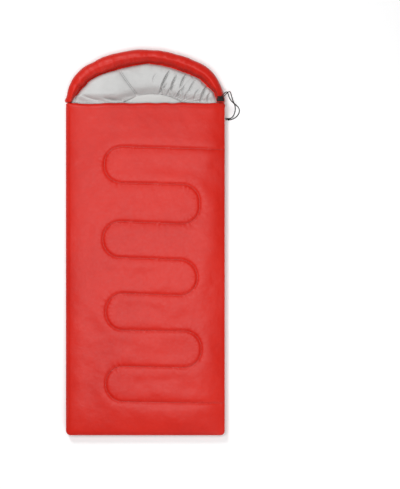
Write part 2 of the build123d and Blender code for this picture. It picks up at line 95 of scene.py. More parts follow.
# ------------------------------------------------------------------ materials
class Nodes:
    """A short way to write a node material."""

    def __init__(self, name):
        self.mat = bpy.data.materials.new(name)
        self.mat.use_nodes = True
        self.tree = self.mat.node_tree
        self.tree.nodes.clear()
        self.out = self.add("ShaderNodeOutputMaterial")
        self.bsdf = self.add("ShaderNodeBsdfPrincipled")
        self.link(self.bsdf.outputs["BSDF"], self.out.inputs["Surface"])
        self.pos = self.add("ShaderNodeTexCoord").outputs["Object"]

    def add(self, kind, **props):
        node = self.tree.nodes.new(kind)
        for k, v in props.items():
            setattr(node, k, v)
        return node

    def link(self, a, b):
        self.tree.links.new(a, b)

    def noise(self, scale, detail=2.0, rough=0.5, vector=None, distortion=0.0):
        n = self.add("ShaderNodeTexNoise")
        n.inputs["Scale"].default_value = scale
        n.inputs["Detail"].default_value = detail
        n.inputs["Roughness"].default_value = rough
        n.inputs["Distortion"].default_value = distortion
        self.link(vector or self.pos, n.inputs["Vector"])
        return n.outputs["Fac"]

    def wave(self, scale, direction="X", profile="SIN", distortion=0.0, vector=None):
        n = self.add("ShaderNodeTexWave", wave_type="BANDS", bands_direction=direction, wave_profile=profile)
        n.inputs["Scale"].default_value = scale
        n.inputs["Distortion"].default_value = distortion
        self.link(vector or self.pos, n.inputs["Vector"])
        return n.outputs["Fac"]

    def mapped(self, scale=(1, 1, 1), rotation=(0, 0, 0)):
        n = self.add("ShaderNodeMapping")
        n.inputs["Scale"].default_value = scale
        n.inputs["Rotation"].default_value = rotation
        self.link(self.pos, n.inputs["Vector"])
        return n.outputs["Vector"]

    def math(self, op, a, b=None, clamp=False):
        n = self.add("ShaderNodeMath", operation=op, use_clamp=clamp)
        for k, v in enumerate((a, b)):
            if v is None:
                continue
            if isinstance(v, (int, float)):
                n.inputs[k].default_value = v
            else:
                self.link(v, n.inputs[k])
        return n.outputs[0]

    def ramp(self, fac, stops, ease="LINEAR"):
        n = self.add("ShaderNodeValToRGB")
        n.color_ramp.interpolation = ease
        el = n.color_ramp.elements
        while len(el) < len(stops):
            el.new(0.5)
        for e, (p, c) in zip(el, stops):
            e.position = p
            e.color = (*c, 1.0) if len(c) == 3 else c
        self.link(fac, n.inputs["Fac"])
        return n.outputs["Color"]

    def bump(self, height, distance, strength=1.0, normal=None):
        n = self.add("ShaderNodeBump")
        n.inputs["Strength"].default_value = strength
        n.inputs["Distance"].default_value = distance
        self.link(height, n.inputs["Height"])
        if normal:
            self.link(normal, n.inputs["Normal"])
        return n.outputs["Normal"]

    def set(self, **values):
        for k, v in values.items():
            self.bsdf.inputs[k.replace("_", " ")].default_value = v
        return self


def cloth_material(name, dark, mid, light, rough, sheen, sheen_tint, weave_scale=1400.0, crumple=0.0016, spec=0.35):
    """Plain-woven synthetic cloth: warp and weft, uneven dye, soft crumples."""
    m = Nodes(name)
    m.set(Roughness=rough, Sheen_Weight=sheen, Sheen_Roughness=0.35, Sheen_Tint=sheen_tint, Specular_IOR_Level=spec)
    big = m.noise(3.2, 3, 0.55)
    fine = m.noise(38, 4, 0.6)
    mix = m.math("ADD", m.math("MULTIPLY", big, 0.65), m.math("MULTIPLY", fine, 0.35))
    colour = m.ramp(mix, [(0.28, dark), (0.5, mid), (0.74, light)])
    warp = m.wave(weave_scale, "X")
    weft = m.wave(weave_scale, "Y")
    weave = m.math("MULTIPLY", warp, weft)
    darker = m.add("ShaderNodeMixRGB", blend_type="MULTIPLY")
    m.link(m.math("MULTIPLY", weave, 0.08), darker.inputs["Fac"])
    m.link(colour, darker.inputs["Color1"])
    darker.inputs["Color2"].default_value = (*[c * 0.55 for c in mid], 1)
    m.link(darker.outputs["Color"], m.bsdf.inputs["Base Color"])
    rough_var = m.math("ADD", m.math("MULTIPLY", m.noise(60, 3), 0.16), rough - 0.08)
    m.link(rough_var, m.bsdf.inputs["Roughness"])
    soft = m.bump(m.noise(17, 5, 0.55, distortion=0.35), crumple * 2.4)
    small = m.bump(m.noise(95, 4, 0.6, distortion=0.5), crumple * 0.45, normal=soft)
    m.link(m.bump(weave, 0.00008, 0.5, normal=small), m.bsdf.inputs["Normal"])
    return m.mat


RED = cloth_material(
    "red_polyester", (0.475, 0.0092, 0.0040), (0.535, 0.0118, 0.0048), (0.585, 0.0150, 0.0062), 0.44, 0.03, (1.0, 0.55, 0.40, 1), crumple=0.0009, spec=0.25
)
GREY = cloth_material(
    "grey_lining", (0.41, 0.41, 0.405), (0.47, 0.47, 0.465), (0.52, 0.52, 0.515), 0.5, 0.10, (1, 1, 1, 1), 1500, 0.0013, 0.3
)
# painted light: a copy of the grey lining cloth, painted a little lighter for the light that falls on the flat head
# panel
LIT_GREY_LINING = cloth_material(
    "grey_lining_painted_lighter", (0.44, 0.44, 0.435), (0.50, 0.50, 0.49), (0.55, 0.55, 0.54), 0.55, 0.10, (1, 1, 1, 1), 1500, 0.0009, 0.3
)


def thread_material(name, colour):
    m = Nodes(name)
    m.set(Roughness=0.45, Sheen_Weight=0.3, Sheen_Roughness=0.4)
    twist = m.wave(900, "DIAGONAL")
    m.link(m.ramp(twist, [(0.2, [c * 0.6 for c in colour]), (0.8, colour)]), m.bsdf.inputs["Base Color"])
    m.link(m.bump(twist, 0.00012), m.bsdf.inputs["Normal"])
    return m.mat


THREAD = thread_material("red_thread", (0.19, 0.006, 0.005))
THREAD_GREY = thread_material("grey_thread", (0.10, 0.10, 0.10))


def webbing_material(name, colour, rib=700.0):
    """Woven tape: ribs across it."""
    m = Nodes(name)
    m.set(Roughness=0.7, Sheen_Weight=0.25, Sheen_Roughness=0.5)
    ribs = m.math("MULTIPLY", m.wave(rib, "X"), m.wave(rib, "Y"))
    fine = m.noise(400, 2)
    mix = m.math("ADD", m.math("MULTIPLY", ribs, 0.6), m.math("MULTIPLY", fine, 0.4))
    m.link(m.ramp(mix, [(0.15, [c * 0.55 for c in colour]), (0.75, colour)]), m.bsdf.inputs["Base Color"])
    m.link(m.bump(mix, 0.0002), m.bsdf.inputs["Normal"])
    return m.mat


TAPE = webbing_material("zip_tape_cloth", (0.30, 0.012, 0.011))


def plastic_material(name, colour, rough, grain=0.00005, coat=0.0):
    """Moulded plastic: a faint grain, uneven gloss, and colour a little paler in random clouds."""
    m = Nodes(name)
    m.set(Roughness=rough, Coat_Weight=coat, Coat_Roughness=0.25, Specular_IOR_Level=0.22)
    speck = m.noise(1800, 3, 0.6)
    cloud = m.noise(90, 3)
    m.link(m.ramp(cloud, [(0.3, colour), (0.75, [min(1, c * 1.6 + 0.004) for c in colour])]), m.bsdf.inputs["Base Color"])
    m.link(m.math("ADD", m.math("MULTIPLY", cloud, 0.2), rough - 0.1), m.bsdf.inputs["Roughness"])
    m.link(m.bump(speck, grain), m.bsdf.inputs["Normal"])
    return m.mat


COIL = plastic_material("coil_nylon", (0.22, 0.010, 0.010), 0.38)
LOCK = plastic_material("lock_plastic", (0.0075, 0.0035, 0.0025), 0.55)


def metal_material(name, colour, rough):
    m = Nodes(name)
    m.set(Metallic=1.0, Roughness=rough)
    brushed = m.noise(240, 5, 0.65, vector=m.mapped((1, 9, 1)))
    cloud = m.noise(70, 3)
    m.link(m.ramp(cloud, [(0.3, [c * 0.8 for c in colour]), (0.7, colour)]), m.bsdf.inputs["Base Color"])
    m.link(m.math("ADD", m.math("MULTIPLY", brushed, 0.22), rough - 0.1), m.bsdf.inputs["Roughness"])
    m.link(m.bump(brushed, 0.00005), m.bsdf.inputs["Normal"])
    return m.mat


METAL = metal_material("slider_metal", (0.42, 0.42, 0.43), 0.34)
SPRING = metal_material("spring_steel", (0.62, 0.62, 0.63), 0.25)


def cord_material():
    """Braided cord: two families of strands crossing, with a fleck."""
    m = Nodes("black_cord")
    m.set(Roughness=0.8, Sheen_Weight=0.03, Sheen_Roughness=0.5, Specular_IOR_Level=0.12)
    one = m.wave(260, "DIAGONAL")
    two = m.wave(260, "X", vector=m.mapped(rotation=(0.5, -0.7, 0.9)))
    braid = m.math("MAXIMUM", one, two)
    fleck = m.noise(500, 2)
    mix = m.math("ADD", m.math("MULTIPLY", braid, 0.7), m.math("MULTIPLY", fleck, 0.3))
    m.link(m.ramp(mix, [(0.3, (0.003, 0.002, 0.002)), (0.85, (0.020, 0.015, 0.015))]), m.bsdf.inputs["Base Color"])
    m.link(m.bump(braid, 0.0004), m.bsdf.inputs["Normal"])
    return m.mat


CORD = cord_material()


def dress(obj, *mats):
    obj.data.materials.clear()
    for m in mats:
        obj.data.materials.append(m)
    return obj


# ------------------------------------------------------------------ cords first
def nurbs(name, pts, radius):
    cu = bpy.data.curves.new(name, "CURVE")
    cu.dimensions = "3D"
    sp = cu.splines.new("NURBS")
    sp.points.add(len(pts) - 1)
    for q, p in zip(sp.points, pts):
        q.co = (p[0] / 1000, p[1] / 1000, p[2] / 1000, 1)
        q.radius = radius
    sp.order_u = 3
    sp.use_endpoint_u = True
    sp.resolution_u = 12
    cu.bevel_depth = 1.0  # times each point's radius
    cu.bevel_resolution = 4
    cu.use_fill_caps = True
    ob = bpy.data.objects.new(name, cu)
    scene.collection.objects.link(ob)
    return ob


def bare_points(obj):
    """Points along a curve object's own line."""
    keep = obj.data.bevel_depth
    obj.data.bevel_depth = 0
    me = bpy.data.meshes.new_from_object(obj)
    pts = np.array([v.co for v in me.vertices], float)
    bpy.data.meshes.remove(me)
    obj.data.bevel_depth = keep
    return pts


tail_a = nurbs("drawcord_strand_a", ROUTE_A, CORD_D / 2)
tail_b = nurbs("drawcord_strand_b", ROUTE_B, CORD_D / 2)


def length_of(pts):
    return float(np.linalg.norm(np.diff(pts, axis=0), axis=1).sum())


for ob, node, route in ((tail_a, "drawcord_tail_a", ROUTE_A), (tail_b, "drawcord_tail_b", ROUTE_B)):
    dress(ob, CORD)
    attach(ob, "back_quilt")
    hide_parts(node)


# ------------------------------------------------------------------ mesh helpers
def vnoise(x, y, cell, seed):
    """Smooth noise from -1 to 1 on a lattice of that cell."""
    r = np.random.default_rng(seed)
    n = int(6.0 / cell) + 8
    lat = r.uniform(-1, 1, (n, n))
    gx, gy = (x + 3.0) / cell, (y + 3.0) / cell
    ix, iy = np.floor(gx).astype(int), np.floor(gy).astype(int)
    fx, fy = gx - ix, gy - iy
    fx = fx**3 * (fx * (fx * 6 - 15) + 10)
    fy = fy**3 * (fy * (fy * 6 - 15) + 10)
    ix, iy = ix % (n - 1), iy % (n - 1)
    a = lat[ix, iy] * (1 - fx) + lat[ix + 1, iy] * fx
    b = lat[ix, iy + 1] * (1 - fx) + lat[ix + 1, iy + 1] * fx
    return a * (1 - fy) + b * fy


def smooth(t):
    t = np.clip(t, 0, 1)
    return t * t * (3 - 2 * t)


def fillet_path(pts, radius, step):
    """A polyline with its corners rounded, as points about step apart."""
    pts = [np.array(p, float) for p in pts]
    out = [pts[0]]
    for k in range(1, len(pts) - 1):
        a, b, c = pts[k - 1], pts[k], pts[k + 1]
        u, v = (a - b) / np.linalg.norm(a - b), (c - b) / np.linalg.norm(c - b)
        ang = math.acos(float(np.clip(u @ v, -1, 1)))
        cut = radius / math.tan(ang / 2)
        p, q = b + u * cut, b + v * cut
        centre = b + (u + v) / np.linalg.norm(u + v) * (radius / math.sin(ang / 2))
        a0 = math.atan2(*(p - centre)[::-1])
        a1 = math.atan2(*(q - centre)[::-1])
        d = (a1 - a0 + math.pi) % (2 * math.pi) - math.pi
        n = max(4, int(abs(d) * radius / step))
        out += [centre + radius * np.array([math.cos(a0 + d * i / n), math.sin(a0 + d * i / n)]) for i in range(n + 1)]
    out.append(pts[-1])
    return resample(np.array(out), step)


def resample(pts, step):
    seg = np.linalg.norm(np.diff(pts, axis=0), axis=1)
    keep = np.r_[True, seg > 1e-9]
    pts = pts[keep]
    s = np.r_[0, np.cumsum(np.linalg.norm(np.diff(pts, axis=0), axis=1))]
    n = max(2, int(round(s[-1] / step)) + 1)
    t = np.linspace(0, s[-1], n)
    return np.stack([np.interp(t, s, pts[:, k]) for k in range(pts.shape[1])], 1)


def grid_normals(p):
    du = np.gradient(p, axis=0)
    dv = np.gradient(p, axis=1)
    n = np.cross(du, dv)
    return n / np.maximum(np.linalg.norm(n, axis=-1, keepdims=True), 1e-12)


def relax(base, pin, scale_u, scale_v, fill, steps=220, k_in=0.10, k_out=0.02, bend=0.08, seed=1, kick=0.0015, floor=None):
    """A cloth on a grid: every thread keeps its length (the flat length times its fullness), the filling pushes
    it out to base + fill along the normal, and it bends softly. pin is 0 for free points and 1 for sewn ones."""
    p = base.copy()
    n = grid_normals(base)
    w = (1.0 - pin)[..., None]
    r = np.random.default_rng(seed)
    nz = r.uniform(-1, 1, base.shape[:2])
    for _ in range(2):
        nz[1:-1, 1:-1] = (nz[1:-1, 1:-1] * 2 + nz[:-2, 1:-1] + nz[2:, 1:-1] + nz[1:-1, :-2] + nz[1:-1, 2:]) / 3.2
    p += n * (w * (kick * nz)[..., None])

    def spans(ax, step=1):
        a = [slice(None)] * 2
        b = [slice(None)] * 2
        a[ax], b[ax] = slice(None, -step), slice(step, None)
        return tuple(a), tuple(b)

    groups = []
    for ax, sc in ((0, scale_u), (1, scale_v)):
        a, b = spans(ax)
        rest = np.linalg.norm(base[b] - base[a], axis=-1) * 0.5 * (sc[a] + sc[b])
        m = rest.shape[ax]
        for odd in (0, 1):
            sa, sb, sr = [slice(None)] * 2, [slice(None)] * 2, [slice(None)] * 2
            sa[ax], sb[ax], sr[ax] = slice(odd, m, 2), slice(odd + 1, m + 1, 2), slice(odd, m, 2)
            groups.append((tuple(sa), tuple(sb), rest[tuple(sr)], 1.0))
    both = 0.5 * (scale_u + scale_v)
    nu, nv = both.shape
    for flip in (0, 1):
        for odd in (0, 1):
            i0, i1 = slice(odd, nu - 1, 2), slice(odd + 1, nu, 2)
            j0, j1 = (slice(0, nv - 1), slice(1, nv)) if not flip else (slice(1, nv), slice(0, nv - 1))
            a, b = (i0, j0), (i1, j1)
            rest = np.linalg.norm(base[b] - base[a], axis=-1) * 0.5 * (both[a] + both[b])
            groups.append((a, b, rest, 0.35))
    wsafe = w + 0.0
    for it in range(steps):
        e = ((p - base) * n).sum(-1) - fill
        push = np.where(e < 0, -k_in * e, -k_out * e)
        p += n * (push * w[..., 0])[..., None]
        for a, b, rest, k in groups:
            d = p[b] - p[a]
            length = np.sqrt((d * d).sum(-1))
            wa, wb = wsafe[a][..., 0], wsafe[b][..., 0]
            tot = np.maximum(wa + wb, 1e-6)
            c = (k * (length - rest) / np.maximum(length, 1e-9) / tot)[..., None] * d
            p[a] += c * wa[..., None]
            p[b] -= c * wb[..., None]
        lap = np.zeros_like(p)
        lap[1:-1] += (p[:-2] + p[2:]) * 0.5 - p[1:-1]
        lap[:, 1:-1] += (p[:, :-2] + p[:, 2:]) * 0.5 - p[:, 1:-1]
        p += bend * lap * w
        if floor is not None:
            p[..., 2] = np.maximum(p[..., 2], floor)
    return p


def grid_object(name, p, mat, close_u=False, smooth_level=1, flip=False, keep=None):
    nu, nv = p.shape[:2]
    idx = np.arange(nu * nv).reshape(nu, nv)
    iu = np.arange(nu if close_u else nu - 1)
    a = idx[iu][:, :-1]
    b = idx[(iu + 1) % nu][:, :-1]
    c = idx[(iu + 1) % nu][:, 1:]
    d = idx[iu][:, 1:]
    faces = np.stack([a, b, c, d], -1).reshape(-1, 4)
    if flip:
        faces = faces[:, ::-1]
    if keep is not None:
        faces = faces[keep.reshape(-1)]
    return mesh_object(name, p.reshape(-1, 3), faces, mat, smooth_level)


def mesh_object(name, verts, faces, mat, smooth_level=0, flat=False):
    me = bpy.data.meshes.new(name)
    verts = np.asarray(verts, float)
    if isinstance(faces, np.ndarray):
        faces = faces.tolist()
    me.from_pydata(verts.tolist(), [], faces)
    me.validate()
    if not flat:
        me.polygons.foreach_set("use_smooth", [True] * len(me.polygons))
    me.materials.append(mat)
    ob = bpy.data.objects.new(name, me)
    scene.collection.objects.link(ob)
    if smooth_level:
        mod = ob.modifiers.new("smooth", "SUBSURF")
        mod.levels = mod.render_levels = smooth_level
        mod.boundary_smooth = "PRESERVE_CORNERS"
    return ob


def surface_of(objs):
    """A tree for finding points on the finished surface of these objects."""
    dg = bpy.context.evaluated_depsgraph_get()
    verts, polys, base = [], [], 0
    for o in objs:
        e = o.evaluated_get(dg)
        me = e.to_mesh()
        v = [e.matrix_world @ x.co for x in me.vertices]
        verts += v
        polys += [[i + base for i in p.vertices] for p in me.polygons]
        base += len(v)
        e.to_mesh_clear()
    return BVHTree.FromPolygons(verts, polys)


def stitches(name, pts, normals, mat, pitch=0.0048, share=0.72, r=0.00055, bury=0.0002):
    """A line of machine stitches: one small round-ended bead of thread for each."""
    s = np.r_[0, np.cumsum(np.linalg.norm(np.diff(pts, axis=0), axis=1))]
    count = int(s[-1] / pitch)
    starts = np.arange(count) * pitch
    rows = [(0.0, 0.15), (0.12, 0.8), (0.5, 1.0), (0.88, 0.8), (1.0, 0.15)]
    sides = 5
    verts, faces = [], []
    get = lambda arr, t: np.stack([np.interp(t, s, arr[:, k]) for k in range(3)], -1)
    for f, (t, k) in enumerate(rows):
        c = get(pts, starts + t * pitch * share)
        n = get(normals, starts + t * pitch * share)
        n /= np.linalg.norm(n, axis=1, keepdims=True)
        d = get(pts, starts + pitch * share) - get(pts, starts)
        d /= np.maximum(np.linalg.norm(d, axis=1, keepdims=True), 1e-9)
        b = np.cross(n, d)
        b /= np.maximum(np.linalg.norm(b, axis=1, keepdims=True), 1e-9)
        lift = (math.sin(math.pi * t) * 0.9 * r - bury)
        for j in range(sides):
            a = 2 * math.pi * j / sides
            verts.append(c + n * (lift + r * k * math.sin(a)) + b * (r * k * math.cos(a)))
    verts = np.stack(verts, 1)  # count, rows*sides, 3
    per = verts.shape[1]
    base = []
    for f in range(len(rows) - 1):
        for j in range(sides):
            base.append((f * sides + j, f * sides + (j + 1) % sides, (f + 1) * sides + (j + 1) % sides, (f + 1) * sides + j))
    base = np.array(base)
    faces = (base[None] + (np.arange(count) * per)[:, None, None]).reshape(-1, 4)
    return mesh_object(name, verts.reshape(-1, 3), faces, mat)


def on_surface(tree, xy, z_from, down=-1):
    """Points and normals of a surface straight under (or over) a path in plan."""
    pts, nrm = [], []
    for x, y in xy:
        hit = tree.ray_cast(Vector((x, y, z_from)), Vector((0, 0, down)))
        if hit[0] is not None:
            pts.append(tuple(hit[0]))
            n = hit[1]
            nrm.append(tuple(n if n.z * -down > 0 else -n))
    return np.array(pts), np.array(nrm)


# ------------------------------------------------------------------ quilts
PATH = fillet_path([(x / 1000, y / 1000) for x, y in STITCH], STITCH_R / 1000, 0.004)
path_tree = KDTree(len(PATH))
for i, (x, y) in enumerate(PATH):
    path_tree.insert((x, y, 0), i)
path_tree.balance()


def path_distance(x, y):
    d = np.empty(x.shape)
    near = np.empty(x.shape + (3,))
    for k, (a, b) in enumerate(zip(x.ravel(), y.ravel())):
        co, i, dist = path_tree.find((a, b, 0))
        d.ravel()[k] = dist
        near.reshape(-1, 3)[k] = co[0], co[1], i * 0.004
    return d, near


def ripples(length, spacing, seed):
    """An uneven wave along a length, with crests about spacing apart."""
    r = np.random.default_rng(seed)
    at, vals, x = [], [], -spacing
    sign = 1
    while x < np.max(length) + 2 * spacing:
        at.append(x)
        vals.append(sign * r.uniform(0.35, 1.0))
        sign = -sign
        x += spacing * r.uniform(0.55, 1.35)
    at, vals = np.array(at), np.array(vals)
    i = np.clip(np.searchsorted(at, length) - 1, 0, len(at) - 2)
    t = smooth((length - at[i]) / (at[i + 1] - at[i]))
    return vals[i] * (1 - t) + vals[i + 1] * t


# the stitch line's turns are gathered more than its straight runs
_t = np.gradient(PATH, axis=0)
_a = np.unwrap(np.arctan2(_t[:, 1], _t[:, 0]))
PATH_TURN = np.clip(np.abs(np.gradient(_a)) / (0.004 / (STITCH_R / 1000)), 0, 1)


WRAP = 0.056


def quilt_grid(h, y_top, wrap_top):
    """The flat cloth of a quilt as a grid: its place in plan, how far each point is past the padded part, and which way."""
    x_in, y_lo, y_hi = HW - INSET, Y_FOOT + INSET, y_top - (INSET if wrap_top else 0)
    k = int(round(WRAP / h))
    us = np.r_[-x_in - WRAP * np.arange(k, 0, -1) / k, np.linspace(-x_in, x_in, int(round(2 * x_in / h)) + 1), x_in + WRAP * np.arange(1, k + 1) / k]
    top = y_hi + WRAP * np.arange(1, k + 1) / k if wrap_top else []
    vs = np.r_[y_lo - WRAP * np.arange(k, 0, -1) / k, np.linspace(y_lo, y_hi, int(round((y_hi - y_lo) / h)) + 1), top]
    u, v = np.meshgrid(us, vs, indexing="ij")
    cx, cy = np.clip(u, -x_in, x_in), np.clip(v, y_lo, y_hi)
    a, b = u - cx, v - cy
    r = np.maximum(abs(a), abs(b))
    big = np.maximum(r, 1e-9)
    ang = np.where(abs(a) >= abs(b), math.pi / 4 * abs(b) / big, math.pi / 2 - math.pi / 4 * abs(a) / big)
    nx, ny = np.sign(a) * np.cos(ang), np.sign(b) * np.sin(ang)
    nx[r < 1e-9] = ny[r < 1e-9] = 0
    return cx, cy, r, nx, ny


def edge_drop(x, y, wide, drop):
    """How far the padded cloth has come down by this point; wide and drop are for the left, the right and the foot."""
    vary = 1 + 0.22 * vnoise(x, y, 0.16, 17)
    far = ((x + HW) / (wide[0] * vary), (HW - x) / (wide[1] * vary), (y - Y_FOOT) / (wide[2] * vary))
    parts = [d * (1 - np.clip(t, 0, 1)) ** 2.3 for d, t in zip(drop, far)]
    return np.sqrt(sum(k * k for k in parts))


def quilt_shell(name, h, top, depth, wide, drop, mouth, seed, full):
    """The outer cloth of a quilt with its lining side at z 0.05, as the top quilt lies."""
    cx, cy, r, nx, ny = quilt_grid(h, Y_NECK, True)
    d, near = path_distance(cx, cy)
    snap = (d < 0.5 * h) & (r < 1e-9)
    cx, cy = np.where(snap, near[..., 0], cx), np.where(snap, near[..., 1], cy)
    fade = 0.50 + 0.50 * smooth((HW - 0.02 - cx) / 0.08)
    ds = np.where(snap, 0, d)
    valley = depth * (0.80 * np.exp(-((ds / 0.0048) ** 1.0)) + 0.20 * np.exp(-((ds / 0.022) ** 1.2))) * fade
    down = edge_drop(cx, cy, wide, drop)
    swell = np.clip(1 - down / max(drop), 0, 1)
    lofty = vnoise(cx, cy, 0.21, seed) * 0.0032 + vnoise(cx, cy, 0.085, seed + 1) * 0.0015
    along = near[..., 2]
    turn = np.interp(along, np.arange(len(PATH)) * 0.004, PATH_TURN)
    pucker = ripples(along, 0.0135, seed + 7) * (0.00015 + 0.0013 * turn) * (0.7 + 0.6 * vnoise(cx, cy, 0.09, seed + 9)) * np.exp(-((ds / 0.026) ** 1.5)) * (1 - np.exp(-((ds / 0.006) ** 2)))
    height = Z_HIGH - down - mouth * (1 - smooth((Y_NECK - cy) / 0.035)) - valley + (pucker * fade if top else 0)
    height += lofty * swell * (1 - np.exp(-((d / 0.05) ** 2)))
    z_mid = 0.0572 if top else 0.0635
    height = np.maximum(height, 0.0600)
    neck = np.where(ny > 0, ny**2, 0)
    end_out = np.where(nx < 0, nx**2 * 0.0235, nx**2 * 0.0105) + np.where(ny > 0, ny**2 * 0.0130, ny**2 * 0.0100)
    reach = INSET * (1 - (0.06 if top else 0.0) * neck) * (1 - 0.10 * np.where(nx < 0, nx**2, 0)) * (1 + (0.30 if top else 0.38) * np.where(ny > 0, np.abs(2 * nx * ny) ** 1.5, 0))
    end_z = 0.0525 + np.where(nx < 0, nx**2 * 0.0025, 0)
    q1 = 0.60 * WRAP
    u = np.clip(r / q1, 0, 1)
    phi = u * math.pi / 2
    psi = np.clip((r - q1) / (WRAP - q1), 0, 1) * math.pi / 2
    # the top quilt thins out to its sewn edges like a pillow; its mouth is rolled, and the back quilt's neck is square
    square = 1 - 0.62 * neck * (0 if top else 1)
    thin = (1 - neck) if top else 0 * neck
    go = thin * u + (1 - thin) * np.sin(phi) ** square
    fall = thin * (1 - u**1.3) + (1 - thin) * np.maximum(np.cos(phi), 0) ** square
    zm = z_mid * (1 - neck) + 0.0635 * neck
    z = np.where(r <= q1, zm + (height - zm) * fall, zm - (zm - end_z) * np.sin(psi))
    z = np.where(r < 1e-9, height, z)
    side = np.stack([cx + nx * reach, cy + ny * reach], -1)
    end = hug(np.stack([cx + nx * end_out, cy + ny * end_out], -1), 0.0392)
    core = np.stack([cx, cy], -1)
    plan = np.where((r <= q1)[..., None], core + (side - core) * go[..., None], end + (side - end) * np.cos(psi)[..., None])
    wavy = vnoise(cx, cx * 0, 0.045, seed + 2) * 0.0036 + vnoise(cx, cx * 0, 0.16, seed + 3) * 0.0024
    plan[..., 1] += wavy * smooth((cy - 0.69) / 0.04) * smooth((0.385 - abs(cx)) / 0.03) * (0.9 if top else 0.0)
    base = np.concatenate([plan, z[..., None]], -1)
    pin = np.where(snap, 1.0, 0.0)
    pin[0], pin[-1], pin[:, 0] = 1, 1, 1
    pin[:, -1] = 1
    sew = np.exp(-((d / 0.045) ** 2)) * fade
    rim = np.exp(-(((WRAP - r) / 0.05) ** 2))
    scale = 1 + full * (0.9 * sew + 1.0 * rim) + 0.010
    fill = 0.0012 * np.exp(-(((d - 0.04) / 0.03) ** 2)) + vnoise(cx, cy, 0.045, seed + 5) * 0.0007
    return base, pin, scale, fill, r


def hug(p, radius):
    """Points past the zip's bend at the foot corner, brought in to that radius about its centre."""
    c = np.array([TAPE_X - TAPE_R, TAPE_Y + TAPE_R])
    d = p - c
    rho = np.maximum(np.linalg.norm(d, axis=-1), 1e-9)
    past = (d[..., 0] > 0) & (d[..., 1] < 0) & (rho > radius)
    return np.where(past[..., None], c + d * (radius / rho)[..., None], p)


H_TOP = 0.0062
base, pin, scale, fill, _ = quilt_shell("top", H_TOP, True, 0.0080, (0.120, 0.155, 0.155), (0.0175, 0.0268, 0.0190), 0.0050, 11, 0.035)
p = relax(base, pin, scale, scale, fill, steps=260, seed=3)
p[..., 0] = np.maximum(p[..., 0], -0.4276)
TOP_GRID = p
top_quilt = grid_object("top_quilt_cover", p, RED)
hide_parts("top_shell", "top_fill")
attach(top_quilt, "top_quilt")

# ------------------------------------------------------------------ back quilt, its cloth face down on the floor
base, pin, scale, fill, _ = quilt_shell("back", H_TOP * 1.25, False, 0.0045, (0.07, 0.07, 0.07), (0.0080, 0.0080, 0.0080), 0.0, 31, 0.02)
base[..., 2] = np.minimum(base[..., 2], Z_HIGH)
p = relax(base, pin, scale, scale, fill * 0.5, steps=90, seed=5, kick=0.0008)
p[..., 2] = np.minimum(p[..., 2], Z_HIGH)
p[..., 2] = 2 * Z_FOLD - p[..., 2]
p[..., 0] = np.maximum(p[..., 0], -0.4276)
BACK_GRID = p
back_quilt = grid_object("back_quilt_cover", p, RED, flip=True)
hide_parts("back_shell", "back_fill")
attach(back_quilt, "back_quilt")


# ------------------------------------------------------------------ linings
def lining_grid(h, seed):
    x_in, y_lo, y_hi = HW - INSET, Y_FOOT + INSET, Y_NECK - INSET
    lip = 0.016
    k = 3
    ext = lip * np.arange(1, k + 1) / k
    us = np.r_[-x_in - ext[::-1], np.linspace(-x_in, x_in, int(2 * x_in / h) + 1), x_in + ext]
    vs = np.r_[y_lo - ext[::-1], np.linspace(y_lo, y_hi, int((y_hi - y_lo) / h) + 1), y_hi + ext]
    u, v = np.meshgrid(us, vs, indexing="ij")
    cx, cy = np.clip(u, -x_in, x_in), np.clip(v, y_lo, y_hi)
    a, b = u - cx, v - cy
    r = np.maximum(abs(a), abs(b))
    big = np.maximum(r, 1e-9)
    ang = np.where(abs(a) >= abs(b), math.pi / 4 * abs(b) / big, math.pi / 2 - math.pi / 4 * abs(a) / big)
    nx, ny = np.sign(a) * np.cos(ang), np.sign(b) * np.sin(ang)
    nx[r < 1e-9] = ny[r < 1e-9] = 0
    end = np.where(nx < 0, nx**2 * 0.0225, nx**2 * 0.0092) + np.where(ny > 0, ny**2 * 0.0135, ny**2 * 0.0090)
    out = end * r / lip
    d, near = path_distance(cx, cy)
    snap = (d < 0.5 * h) & (r < 1e-9)
    cx, cy = np.where(snap, near[..., 0], cx), np.where(snap, near[..., 1], cy)
    d = np.where(snap, 0, d)
    fade = smooth((HW - 0.004 - cx) / 0.02)
    inner = smooth(np.minimum.reduce([cx + x_in, x_in - cx, cy - y_lo, y_hi - cy]) / 0.03)
    puff = 0.0026 * inner * (1 - np.exp(-((d / 0.03) ** 1.3))) + vnoise(cx, cy, 0.07, seed) * 0.0012 * inner
    dimple = 0.0048 * np.exp(-((d / 0.018) ** 0.95)) * fade
    x, y = cx + nx * out, cy + ny * out
    # at the foot corner the cloth follows the zip's bend
    kx, ky = x - (TAPE_X - TAPE_R), y - (TAPE_Y + TAPE_R)
    rho = np.hypot(kx, ky)
    bent = 0.028 + 0.0092 * (1 - np.exp(-(rho - 0.028) / 0.0092))
    k = np.where((kx > 0) & (ky < 0) & (rho > 0.028), bent / np.maximum(rho, 1e-9), 1.0)
    return TAPE_X - TAPE_R + kx * k, TAPE_Y + TAPE_R + ky * k, puff - dimple, snap, d, fade


def lining(name, side, h, seed):
    """side is +1 for the back quilt's lining, which faces up, and -1 for the top quilt's."""
    x, y, lift, snap, d, fade = lining_grid(h, seed)
    z0 = 0.0350 if side > 0 else 0.0500
    base = np.stack([x, y, z0 + side * np.maximum(lift, -0.006)], -1)
    pin = np.where(snap, 1.0, 0.0)
    pin[0], pin[-1], pin[:, 0], pin[:, -1] = 1, 1, 1, 1
    sew = np.exp(-((d / 0.045) ** 2)) * fade
    scale = 1 + 0.035 * sew + 0.008
    q = relax(base, pin, scale, scale, 0.0, steps=120, seed=seed, kick=0.0010, bend=0.10)
    q[..., 2] = np.clip(q[..., 2], z0 - 0.0065, z0 + 0.0065)
    ob = grid_object(name, q, GREY, flip=side < 0)
    return ob, q


